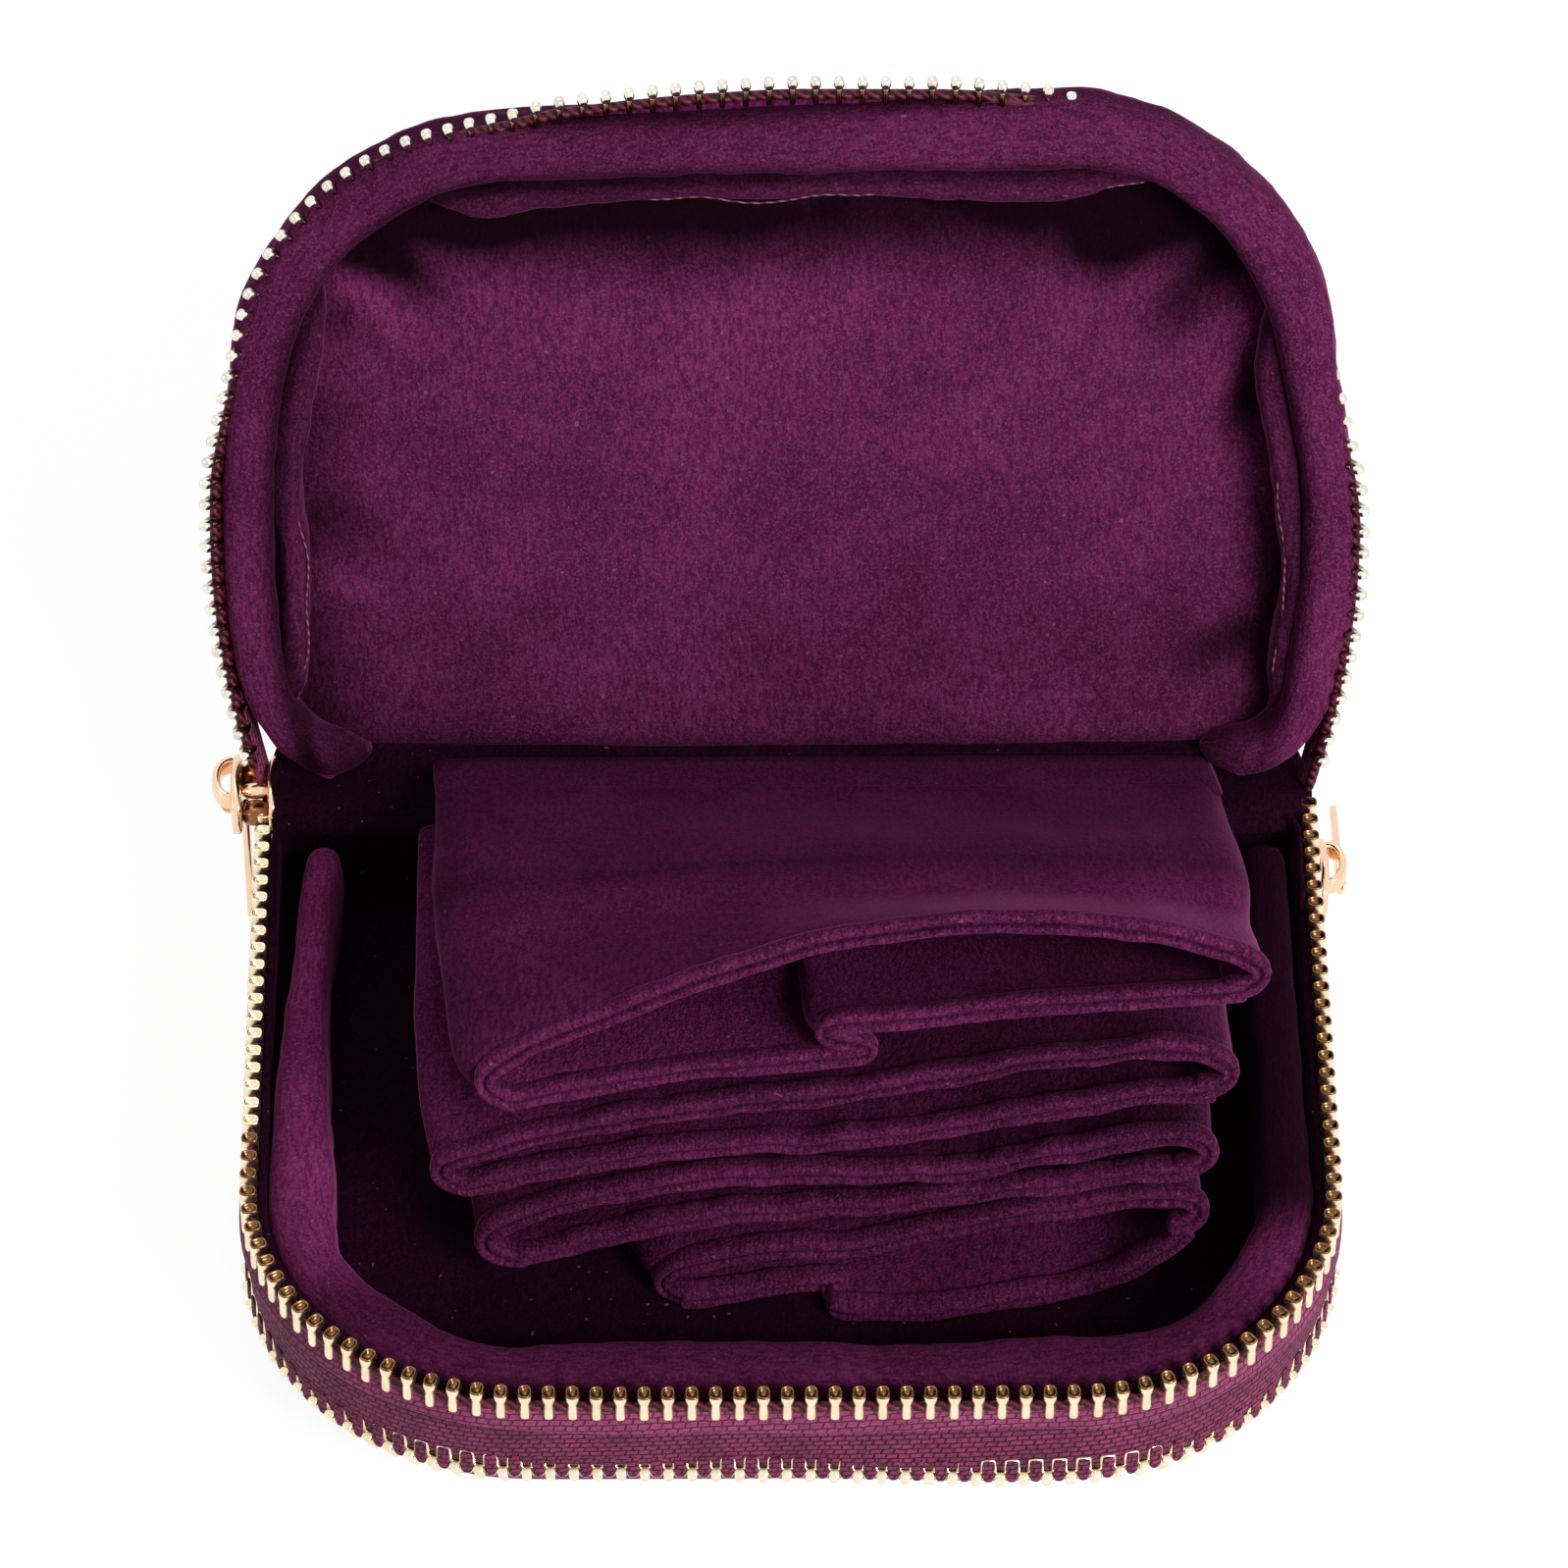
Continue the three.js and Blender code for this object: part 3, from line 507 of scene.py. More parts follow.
LINT = (0.42, 0.17, 0.30)
# The brighter plum that the painted sheen turns the velvet to at grazing angles, also the colour of its fine grain.
SHEEN_AND_GRAIN = (0.40, 0.100, 0.27)
ROLL = {"rib": (0.55, 1.9, 1), "uv": True}
HEMMED = {"rib": (2.2, 0.5, 1), "uv": True, "groove": 3.75}
plum = velvet("velvet_plum", (0.064, 0.004, 0.040), (0.200, 0.020, 0.120), SHEEN_AND_GRAIN)
# A brighter copy of the velvet, painted light, for the top panel, which top_shade then darkens where less light falls.
plum_top_lit = velvet("velvet_top_lit", (0.090, 0.0055, 0.056), (0.275, 0.029, 0.165), SHEEN_AND_GRAIN)
plum_side = velvet("velvet_roll", (0.062, 0.005, 0.037), (0.190, 0.023, 0.112), SHEEN_AND_GRAIN, **ROLL)
# A brighter copy of the roll's velvet, painted light, for the tray's roll, which tray_roll_shade then darkens.
plum_rim_lit = velvet("velvet_rim_lit", (0.088, 0.0065, 0.053), (0.268, 0.032, 0.158), SHEEN_AND_GRAIN, **ROLL)
plum_hem = velvet("velvet_hem", (0.040, 0.003, 0.025), (0.200, 0.021, 0.118), SHEEN_AND_GRAIN, **HEMMED)
plum_lining = velvet("velvet_lining", (0.068, 0.0055, 0.041), (0.206, 0.026, 0.119), SHEEN_AND_GRAIN)
# A near-black copy of the velvet, painted shade, for cloth deep inside the case where little light reaches.
plum_shade = velvet("velvet_shade", (0.008, 0.0008, 0.006), (0.022, 0.002, 0.014), (0.05, 0.010, 0.03), sheen=0.02)
tape = woven("zip_tape", (0.030, 0.001, 0.012), (0.355, 0.044, 0.142), 0.2)
# A lighter copy of the tape, painted light, for the upper tape's fold, which catches the light.
tape_fold_lit = woven("zip_tape_fold", (0.11, 0.009, 0.048), (0.375, 0.066, 0.172), 0.4)
cord_red = twisted("zip_cord", (0.018, 0.001, 0.004), (0.15, 0.012, 0.034))
raw_edge = twisted("raw_edge", (0.10, 0.015, 0.05), (0.34, 0.11, 0.20))
teeth_gold = gold("teeth_gold", (0.93, 0.82, 0.60), (0.74, 0.56, 0.33), 0.20, 0.02)
# Dark brown metal, a painted dark reflection and shade, for the teeth's cups and the open lid's tooth legs.
teeth_dark_reflection = gold("teeth_dark_reflection", (0.22, 0.115, 0.050), (0.05, 0.020, 0.008), 0.18, 0.02)
gold_shadow = gold("gold_shadow", (0.30, 0.13, 0.06), (0.09, 0.03, 0.015), 0.16, 0.01)
pearl_gold = gold("pearl_gold", (0.90, 0.86, 0.74), (0.40, 0.33, 0.25), 0.16, 0.02)
rose_gold = gold("rose_gold", (0.93, 0.68, 0.48), (0.86, 0.56, 0.36), 0.10, 0.012)
board_card = card("board_card", (0.56, 0.47, 0.36), (0.40, 0.32, 0.23), 900, 0.9)
foam_card = card("foam_card", (0.80, 0.77, 0.71), (0.62, 0.59, 0.52), 1400, 1.0)


def cloth(flat, area=None, corners=(0, 0)):
    """Works out a cloth's area from its cut in mm: width, length, and the given area or its front and rear corners'
    radii.
    """
    wide, long = flat
    area = area or wide * long - (2 - math.pi / 2) * (corners[0] ** 2 + corners[1] ** 2)


def settle(obj, body, replaced=(), squash=None):
    """Lets a finished piece ride on its body and hides the parts it stands in for.

    Pieces of the lid, and pieces given squash, get a mesh of their own."""
    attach(obj, body)
    if replaced:
        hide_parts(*replaced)
    if squash or body == "lid":
        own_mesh(obj)
    return obj


def settle_across(obj, replaced=()):
    """For a cloth that spans from one body to another: bakes its place into its mesh and hides the parts it stands in
    for.
    """
    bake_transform(obj)
    if replaced:
        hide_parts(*replaced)


# Zips

PITCH = 2.5
CHAIN_START = 5.4
LAST_TOOTH = 97

# A tooth along its own height: (height, half depth, half width), from the clamped legs to the cupped head.
STRAIGHT = [
    (-2.98, 0.80, 0.52), (-2.93, 0.98, 0.70), (-2.60, 1.00, 0.70), (-1.60, 1.00, 0.66), (-0.85, 1.00, 0.58),
    (-0.55, 1.00, 0.60), (-0.25, 1.02, 0.76), (0.15, 1.04, 0.82), (0.60, 1.02, 0.80), (0.80, 0.84, 0.66),
    (0.62, 0.70, 0.52), (0.18, 0.50, 0.32),
]
# The open lid shows its teeth from behind their cups: legs with a painted dark reflection, and a pearl of a head.
PEARL = [
    (-2.98, 0.60, 0.30), (-2.90, 0.90, 0.40), (-1.80, 0.96, 0.36), (-0.80, 0.90, 0.36), (-0.62, 0.66, 0.44),
    (-0.38, 0.68, 0.60), (0.00, 0.72, 0.66), (0.40, 0.64, 0.58), (0.68, 0.32, 0.30),
]
# The closed chain's upper teeth end round, as the tape's scallops in front of them show.
ROUND = [
    (-2.9, 0.5, 0.94), (-2.6, 0.66, 1.02), (-0.5, 0.68, 1.02), (-0.10, 0.68, 0.98), (0.32, 0.68, 0.84),
    (0.66, 0.66, 0.60), (0.80, 0.56, 0.32),
]
BLOCK = [
    (-2.9, 0.40, 0.46), (-2.4, 0.48, 0.54), (-0.4, 0.56, 0.58), (0.34, 0.60, 0.62), (0.70, 0.60, 0.62),
    (0.78, 0.50, 0.52),
]
SCALLOP = [
    (-2.9, 0.12, 0.62), (-2.5, 0.18, 0.72), (-0.6, 0.20, 0.72), (-0.2, 0.20, 0.69), (0.14, 0.19, 0.58),
    (0.40, 0.16, 0.40), (0.52, 0.10, 0.18),
]


def tooth_rings(rows, depth):
    across, along = rounded(8, 0.55)
    return np.array([np.stack([depth + u * across, w * along, np.full(8, v)], 1) for v, u, w in rows])


def teeth(
    name, rows, height, up, first, last, material, place=stay, drift=nothing, lean=nothing, lift=nothing,
    depth=0.0, pivot=-1.9, inlay=None, bands=(), plain=0.0,
):
    """A row of teeth along the rail. up is 1 where they point up, and lean turns their heads outward, in degrees.

    inlay is a second material for some bands of faces along each tooth, and for its end where they reach it,
    past the distance plain."""
    shape = tooth_rings(rows, depth)
    rows, columns = shape.shape[:2]
    u, side, v = shape[..., 0], shape[..., 1], shape[..., 2] - pivot
    points, faces, inlaid, uv = [], [], [], []
    marked = range(rows - 1)[slice(*bands)] if bands else ()
    for number in range(first, last + 1):
        d = CHAIN_START + (0 if up > 0 else PITCH / 2) + number * PITCH
        x, y, nx, ny = rail(d)
        turn = math.radians(lean(d))
        outward = u * math.cos(turn) + v * math.sin(turn) + drift(d)
        tall = pivot + v * math.cos(turn) - u * math.sin(turn)
        start = len(points) * rows * columns
        uv.append(np.stack([d + side, shape[..., 2]], -1))
        spot = [x + outward * nx - side * ny, y + outward * ny + side * nx, height + up * tall + lift(d)]
        points.append(place(np.stack(spot, -1)))
        dark = marked if d > plain else ()
        inlaid += [len(faces) + band * columns + i for band in dark for i in range(columns)]
        faces += grid_faces(rows, columns, wrap=True, first=start)
        for end in (start, start + (rows - 1) * columns):
            faces.append(tuple(end + i for i in range(columns)))
        if rows - 2 in dark:
            inlaid.append(len(faces) - 1)
    return mesh_object(name, np.array(points), faces, material, np.array(uv), inlay and (inlay, inlaid))


upper_drift = between([(60, 0.0), (80, -0.3), (96, 0.1), (110, 0.5), (150, 0.5), (170, 0.4), (185, 0.2), (200, 0.0)])
lower_drift = between([(60, 0.0), (86, -0.2), (108, 0.0), (130, 0.3), (150, 1.0), (165, 0.6), (185, 0.0)])
lid_drift = between([
    (40, 0.0), (50, -1.3), (56, -1.9), (66, -2.0), (77, -2.3), (84, -2.8), (92, -3.4), (98, -3.2), (103, -1.7),
    (112, -0.6), (118, 0.0), (128, 0.6), (148, 0.5), (156, -0.8), (163, -3.4), (180, -3.8), (204, -3.8),
    (211, -2.2), (217, -0.8), (223, -0.2),
])
lid_lean = between([
    (6, 8), (24, 24), (45, 33), (56, 28), (66, 38), (77, 40), (84, 44), (92, 50), (98, 55), (103, 58),
    (118, 62), (205, 62), (216, 30), (224, 24), (234, 24), (250, 8),
])
# The chain passes behind the roll at the right front corner.
lid_lift = between([(150, 0.0), (162, 2.6), (204, 2.6), (216, 0.0)])


def build_zips():
    base_lean = {"drift": lambda d: lower_drift(d) + 0.62, "lean": lambda d: 26, "pivot": 0.3}
    # The upper teeth's cups, past the distance plain, get the painted dark reflection.
    cups = {"inlay": teeth_dark_reflection, "bands": (-3, None), "plain": 46}
    splayed = {"place": open_lid, "drift": lid_drift, "lean": lid_lean, "lift": lid_lift}
    low, top = {"drift": lower_drift}, {"drift": upper_drift}
    last, bead = LAST_TOOTH, LOWER_ZIP + 0.4
    for name, rows, height, up, reach, material, body, slot, ends, more in (
        ("tray_upper_teeth", STRAIGHT, 25.25, 1, (-2, last + 4), teeth_gold, "tray", "zip_metal", "left", top | cups),
        ("lid_teeth", PEARL, UPPER_ZIP, -1, (0, last + 1), pearl_gold, "lid", "zip_metal", "left",
         splayed | {"inlay": teeth_dark_reflection, "bands": (0, 4)}),
        ("tray_lower_teeth", ROUND, bead, -1, (-2, last - 1), teeth_gold, "tray", "zip_metal", "right", low),
        ("tray_tape_scallops", SCALLOP, bead, -1, (-2, last - 1), tape, "tray", "tape", None, low | {"depth": 0.62}),
        ("base_teeth", BLOCK, 12.7, 1, (-2, last), teeth_gold, "base", "zip_metal", "right", base_lean),
    ):
        zip_node = name.replace("teeth", "zip")
        replaced = [zip_node, f"{zip_node}_{ends}_run"] if ends else ()
        settle(teeth(name, rows, height, up, *reach, material, **more), body, replaced)

    radius, chain_end = 0.62, CHAIN_START + (last + 1) * PITCH
    for name, height, outward, start, end, place, drift, lift in (
        ("tray_upper_cord", 23.6, 0.0, 3.8, chain_end + 6.0, stay, upper_drift, nothing),
        ("lid_cord", 27.9, 0.0, 3.8, chain_end + 6.0, open_lid, lid_drift, lid_lift),
        ("tray_lower_cord", 14.0, -0.1, -1.5, chain_end, stay, lower_drift, nothing),
        ("base_cord", 11.3, -1.2, -1.5, chain_end, stay, lower_drift, nothing),
    ):
        section = oval(outward - radius, outward + radius, height - radius, height + radius, 8, 1.0)
        cord = sweep(
            name, stations(start, end, 2.5), section, cord_red, place,
            swell=lambda ring, d, drift=drift, lift=lift: ring + [drift(d), lift(d)],
        )
        settle(cord, name.split("_")[0])


def build_tapes():
    fold_top, fold_depth = 23.9, 3.4
    fold = [
        (0.36, fold_top), (0.46, 22.9), (0.86, 21.9), (1.24, 21.1), (1.12, 20.6),
        (0.62, 20.5), (0.10, 21.2), (-0.30, 22.5), (-0.40, fold_top),
    ]

    def fold_swell(ring, d):
        lift = 0.30 * math.sin(d / 11.0) + 0.20 * math.sin(d / 4.7 + 1)
        down = (fold_top - ring[:, 1]) / fold_depth
        return np.column_stack([ring[:, 0] + upper_drift(d), ring[:, 1] + lift * down])

    settle(sweep("tray_upper_tape", stations(0.5, RAIL - 0.5, 2.2), fold, tape_fold_lit, swell=fold_swell), "tray")

    wall_top, wall_depth = 21.9, 8.2
    wall = [
        (0.30, wall_top), (0.42, 19.4), (0.50, 17.0), (0.52, 15.0), (0.50, 13.7),
        (-0.35, 13.7), (-1.30, 15.6), (-1.90, 17.4), (-1.90, 21.0), (-1.20, wall_top),
    ]

    def wall_swell(ring, d):
        share = (wall_top - ring[:, 1]) / wall_depth
        swing = upper_drift(d) * (1 - share) + lower_drift(d) * share
        return np.column_stack([ring[:, 0] + swing + 0.12 * math.sin(d / 5.3) * share, ring[:, 1]])

    lower = sweep("tray_wall_tape", stations(1.0, RAIL - 1.0, 2.2), wall, tape, swell=wall_swell)
    # Painted shade: the tape is darker under the fold above it and toward its foot.
    shade(lower, lambda p: 0.45 * smooth((p[:, 2] - 19.0) / 1.6) + 0.35 * smooth((15.2 - p[:, 2]) / 1.2))
    settle(lower, "tray", ["tray_wall"])

    for name, slot, ends, step, section, material, place, drift in (
        # Near-black velvet, painted shade, lines the tray between its teeth and its roll.
        ("tray_side_lining", "lining", 0.8, 2.6, oval(-2.0, -0.9, 12.6, 24.2, 12, 0.4), plum_shade, stay, upper_drift),
        ("base_tape", "tape", 0.5, 2.4,
         [(-0.75, 11.2), (-1.6, 9.6), (-2.8, 7.8), (-3.5, 7.6), (-2.6, 9.6), (-1.6, 11.2)],
         tape, stay, lambda d: lower_drift(d) * 0.9),
        ("lid_tape", "tape", 1.0, 2.4,
         [(0.35, 27.6), (0.10, 28.9), (-0.7, 30.7), (-1.5, 31.4), (-1.1, 29.4), (-0.5, 27.6)],
         tape, open_lid, lid_drift),
    ):
        band = sweep(
            name, stations(ends, RAIL - ends, step), section, material, place,
            swell=lambda ring, d, drift=drift: ring + [drift(d), 0],
        )
        settle(band, name.split("_")[0])
        if slot == "lining":
            cloth((RAIL - 1.6, 12.2))


# Padded rims


def roll_wave(d):
    return 0.30 * math.sin(d / RAIL * 14 * math.pi) + 0.22 * math.sin(d / 4.1 + 0.6)


def tray_roll_shade(points):
    """Painted shade: darker along the front and low down, and nearly black along the right side, which the pockets keep
    in shadow.
    """
    x, y, z = points.T
    front = 0.64 * smooth((-y - 20) / 11)
    right = 0.95 * smooth((x - 20) / 10) * smooth((y + 27) / 14)
    return np.clip(front + right + 0.40 * smooth((22.5 - z) / 5), 0, 0.97)


def build_tray_roll():
    section = oval(0, 1, 14.2, 25.3, 18, 0.58)
    outer = between([(0, -4.6), (18, -3.9), (28, -2.9), (40, -2.1), (54, -1.9), (200, -1.9), (230, -2.4), (257, -2.6)])
    inner = between([(0, -8.6), (28, -8.0), (45, -8.6), (60, -9.3), (80, -8.8), (100, -8.2), (160, -8.3), (257, -8.2)])

    def swell(ring, d):
        n = inner(d) - 1.1 * roll_wave(d) + (outer(d) - inner(d) + 1.1 * roll_wave(d)) * ring[:, 0]
        lift = 0.25 * math.sin(d / 6.3 + 2) * np.clip((ring[:, 1] - 20) / 5, 0, 1)
        return np.column_stack([n, ring[:, 1] + lift])

    roll = sweep("tray_roll", stations(1.6, RAIL - 1.6, 2.0), section, plum_rim_lit, taper=5.0, swell=swell)
    wrinkle(roll, 0.24, 5.5, 2)
    shade(roll, tray_roll_shade)
    settle(roll, "tray", ["tray_rim_roll"])


# The lid's padded roll: (distance, inner face, outer face) from the rail, curling in round the back corners.
LID_CURL = 12.0
LID_ROLL = [
    (-4, -6.4, -1.9), (4, -6.2, -1.6), (10, -6.0, -1.2), (16, -5.9, -0.5), (35, -6.0, -0.5), (49, -6.2, -0.6),
    (60, -7.8, -0.4), (66, -8.4, -1.0), (77, -8.9, -1.4), (90, -9.6, -2.3), (99, -9.8, -2.9), (118, -8.8, -2.4),
    (128, -8.8, -1.9), (149, -8.6, -0.5), (162, -8.0, -0.1), (172, -7.6, -0.2), (185, -7.6, -0.3), (195, -7.8, -0.5),
    (205, -7.3, -1.2), (211, -6.5, -0.7), (222, -5.6, -0.1), (232, -5.6, 0.5), (240, -5.8, 0.1), (253, -6.0, -0.6),
    (261, -6.4, -1.9),
]
lid_roll_inner = between([row[:2] for row in LID_ROLL])
lid_roll_outer = between([row[::2] for row in LID_ROLL])


def lid_roll_shade(points):
    """The side away from the key light and the ends by the hinge are darker."""
    x, y, z = closed_lid(points).T
    d, inside = rail_place(x, y)
    depth = inside + lid_roll_inner(d)
    left = 0.16 * smooth((10 - x) / 30) + 0.62 * smooth((depth + 2.4) / 2.4) * (z < 33)
    left = left - 0.35 * smooth((depth - 0.7) / 1.2)
    return np.clip(left + 0.14 * smooth((-y - 20) / 15) + 0.5 * smooth((y - 30) / 12) * (x < 0), 0, 0.97)


def build_lid_roll():
    over = 8

    def swell(ring, d):
        inner, outer = lid_roll_inner(d) - 0.5 * roll_wave(d), lid_roll_outer(d)
        tuck = 3.4 * (1 - smooth(min(d + over, RAIL + over - d) / 9))
        return np.column_stack([inner + (outer - inner) * ring[:, 0], ring[:, 1] - 0.2 * roll_wave(d) + tuck])

    roll = sweep(
        "lid_roll", stations(-over, RAIL + over, 2.0), oval(0, 1, 26.2, 34.6, 18, 0.62), plum_side, open_lid,
        taper=8.0, swell=swell, back=LID_CURL,
    )
    wrinkle(roll, 0.26, 5.0, 3)
    shade(roll, lid_roll_shade)
    settle(roll, "lid", ["lid_rim_roll"])


def build_ridge(index, side, start, end, width, replaced=()):
    """A length of the seam allowance inside the lid's roll, with its raw edge."""

    def edge(d):
        return lid_roll_inner(d) + 0.5 + 0.25 * math.sin(d / 6.1 + index) + 0.15 * math.sin(d / 2.6)

    def sink(d):
        return 2.2 * (1 - smooth(min(d - start, end - d) / 17)) + 0.3 * math.sin(d / 5.2)

    def swell(ring, d):
        across = (width + 0.7) * (1 + 0.14 * math.sin(d / 8.3 + 2))
        return np.column_stack([edge(d) + sink(d) * 1.5 - (1 - ring[:, 0]) * across, ring[:, 1] + sink(d)])

    def fray_swell(ring, d):
        out = edge(d) + sink(d) * 1.5 - width + 0.18 * math.sin(d / 1.7)
        return ring + [out, sink(d) + 0.12 * math.sin(d / 1.1)]

    ridge = sweep(
        f"lid_ridge_{side}", stations(start, end, 1.6), oval(0, 1, 27.9, 34.4, 12, 0.75), plum_side, open_lid,
        taper=9.0, swell=swell, back=LID_CURL,
    )
    wrinkle(ridge, 0.22, 3.2, 5 + index)
    shade(ridge, lid_roll_shade)
    settle(ridge, "lid", replaced)
    fray = sweep(
        f"lid_raw_edge_{side}", stations(start + 8, end - 8, 1.2), oval(-0.13, 0.13, 28.6, 28.86, 6, 1.0),
        raw_edge, open_lid, swell=fray_swell, back=LID_CURL,
    )
    settle(fray, "lid")


# Covers, linings and floors


def build_base():
    """The base is drawn in under its zip, so the closed chain hides it from above."""
    cover = [
        (0.0, 12.0, 4.0), (0.25, 10.0, 2.9), (1.0, 8.2, 2.0), (2.3, 6.9, 1.3), (4.0, 5.6, 0.8),
        (5.9, 4.2, 0.4), (7.8, 2.9, 0.3), (8.25, 3.1, 0.5), (7.9, 3.8, 1.1), (5.6, 5.5, 1.5), (3.2, 7.6, 2.1),
        (1.75, 9.8, 3.1), (1.3, 12.0, 4.6),
    ]
    piece = shell("base_cover", cover, (0.0, 0.0), plum, rear=8)
    settle(piece, "base", ["base_shell"])
    cloth((117, 88), corners=(29, 12))
    lining = [
        (2.62, 13.0, 6.5), (2.7, 11.0, 4.8), (3.6, 9.2, 3.8), (5.4, 7.6, 3.0), (7.4, 6.0, 2.6),
        (8.2, 5.6, 2.5), (8.3, 6.3, 3.1), (7.5, 7.2, 3.8), (5.6, 8.8, 4.6), (4.2, 11.0, 6.4), (3.7, 14.0, 9.0),
    ]
    # The base's lining is near-black velvet, painted shade inside the base.
    piece = shell("base_floor_lining", lining, (0.0, 0.5), plum_shade, rear=7)
    wrinkle(piece, 0.1, 9, 8)
    settle(piece, "base", ["base_lining"])
    cloth((110, 81), corners=(26, 8))


def build_tray_floor():
    levels = [(12.9, 1.8, 0.8), (12.95, 1.4, 0.3), (13.5, 1.3, 0.2), (13.95, 2.0, 1.0), (14.1, 6.0, 5.0)]
    # The tray's floor is near-black velvet, painted shade under the pockets.
    floor = shell("tray_floor_pad", levels, (0.0, 0.35), plum_shade, rear=4)
    wrinkle(floor, 0.12, 8, 9)
    settle(floor, "tray", ["tray_floor_lining"])


def drawn_in(points):
    """Draws the cover's lip in with its zip at the front corners, and leaves the rest over the lid's board."""
    p = np.array(points, float)
    d, inside = rail_place(p[..., 0], p[..., 1])
    nx, ny = rail(d)[2:]
    move = lid_drift(d) * (1 - smooth((p[..., 2] - 30.4) / 3.6)) * (1 - smooth((inside - 5) / 9))
    return p + np.stack([nx * move, ny * move, 0 * move], -1)


def build_lid_cover():
    cover = [
        (LID_TOP, 14.0, 9.0), (LID_TOP - 0.25, 11.4, 6.8), (LID_TOP - 1.1, 8.8, 4.8),
        (LID_TOP - 2.6, 6.4, 3.2), (LID_TOP - 4.6, 4.2, 2.0), (LID_TOP - 7.0, 2.5, 1.0),
        (LID_TOP - 9.6, 1.5, 0.5), (30.2, 1.4, 0.4), (30.3, 2.2, 1.1), (LID_TOP - 7.2, 3.9, 2.0),
        (LID_TOP - 3.9, 6.8, 3.8), (LID_TOP - 1.9, 10.4, 6.4), (LID_TOP - 1.3, 13.4, 8.6),
    ]
    piece = shell("lid_cover", cover, (0.6, 0.0), plum, lambda points: open_lid(drawn_in(points)))
    wrinkle(piece, 0.18, 12, 4)
    settle(piece, "lid", ["lid_shell"])
    cloth((124, 93), corners=(33, 18))


def crease(x, y, start, end, width):
    """1 along a line of the plan, fading off to its sides and its ends."""
    length = math.hypot(end[0] - start[0], end[1] - start[1])
    ux, uy = (end[0] - start[0]) / length, (end[1] - start[1]) / length
    along = (x - start[0]) * ux + (y - start[1]) * uy
    across = (y - start[1]) * ux - (x - start[0]) * uy
    ends = smooth(along / (0.3 * length)) * smooth((length - along) / (0.5 * length))
    return np.exp(-((across / width) ** 2)) * ends


# Creases of the lid's floor: start, end, width and depth, where a negative depth is a raised fold.
FLOOR_CREASES = [
    ((-51, -26), (-33, -13), 1.5, 1.9), ((-50, -21), (-37, -7), 1.3, -1.2),
    ((-50, -17), (-36, -4), 1.6, 0.8), ((-46, -31), (-27, -21), 1.8, 1.5),
    ((-40, -34), (-24, -26), 1.5, -0.9), ((51, -24), (34, -8), 2.0, 1.6),
    ((47, -31), (26, -15), 2.2, 1.7), ((52, -16), (40, -1), 1.7, -1.1),
    ((52, -10), (43, 4), 1.6, 1.3), ((-51, 8), (-37, 15), 2.0, 0.6),
    ((-51, 16), (-39, 21), 1.5, -0.8), ((50, 22), (38, 30), 1.8, 1.0),
    ((12, -34), (30, -24), 1.8, 0.9),
]


def lining_relief(x, y):
    """How far the lid's padded floor stands out toward the tray, with its creases and hollows."""
    crown = 1.9 * np.cos(np.clip(x / 54, -1, 1) * math.pi / 2) * np.cos(np.clip((y - 6) / 46, -1, 1) * math.pi / 2)
    rolled = 1.9 * smooth((y - 14) / 20) - 3.2 * np.clip((y - 35.4) / 3.4, 0, 1) ** 2
    folds = sum(-depth * crease(x, y, start, end, width) for start, end, width, depth in FLOOR_CREASES)
    return crown + rolled + folds


def lid_floor_shade(points):
    """Painted shade: dark under the padded edge at the top and at both sides, in the creases, toward the hinge, where
    the pad rolls over, and in soft patches.
    """
    x, y, z = closed_lid(points).T
    dark = 0.98 * smooth((-y - 15) / 11) + 0.30 * smooth((y - 12) / 16) + 0.7 * smooth((y - 37.2) / 1.4)
    dark = dark + 0.4 * smooth((-x - 41) / 9) + 0.5 * smooth((x - 44) / 8) + 0.12 * smooth((-x - 22) / 14)
    for start, end, width, depth in FLOOR_CREASES:
        dark = dark + 0.48 * depth * crease(x, y, start, end, width * 1.6)
    # Soft patches of painted shade.
    patches = np.array([fbm(p, 17, 31) for p in points])
    return np.clip(dark + 0.22 * patches, 0, 0.97)


def build_lid_floor():
    """The lid's padded floor panel, creased at its corners and rolled over at the hinge."""
    rows, columns, curve, turn_y = 60, 76, FRONT_RADIUS - 5.0, -12.5
    hinge_end, front_end, half_width = 38.8, -36.4, 53.4
    v = np.linspace(0, 1, rows)[:, None]
    u = np.linspace(-1, 1, columns)[None, :]
    y = hinge_end - v * (hinge_end - front_end)
    half = np.where(
        y > turn_y,
        half_width - 4.2 * np.clip((y - 26) / 12.8, 0, 1) ** 2,
        HALF_WIDTH - FRONT_RADIUS + np.sqrt(np.clip(curve**2 - (np.minimum(y, turn_y) - turn_y) ** 2, 0, None)),
    )
    x, y = np.broadcast_arrays(u * half, y)
    edge = np.minimum(1, (1 - np.abs(u)) * half / 5.0) * np.minimum(1, v * 20 + 0.8)
    quilt = np.array([[0.22 * fbm((a, b, 0), 9, 6) for a, b in zip(*row)] for row in zip(x, y)])
    rim = 1 - smooth(edge)
    face = np.minimum(35.5 - lining_relief(x, y) - quilt + 0.6 * rim, 36.3 - 0.2 * rim)
    back = np.maximum(face + 1.2, 36.9) * (1 - rim) + (face + 0.3) * rim
    front, back = (open_lid(np.stack([x, y, height], -1)) for height in (face, back))
    floor = closed_sheet("lid_floor_pad", front, back, plum_lining)
    shade(floor, lid_floor_shade)
    settle(floor, "lid", ["lid_lining"])


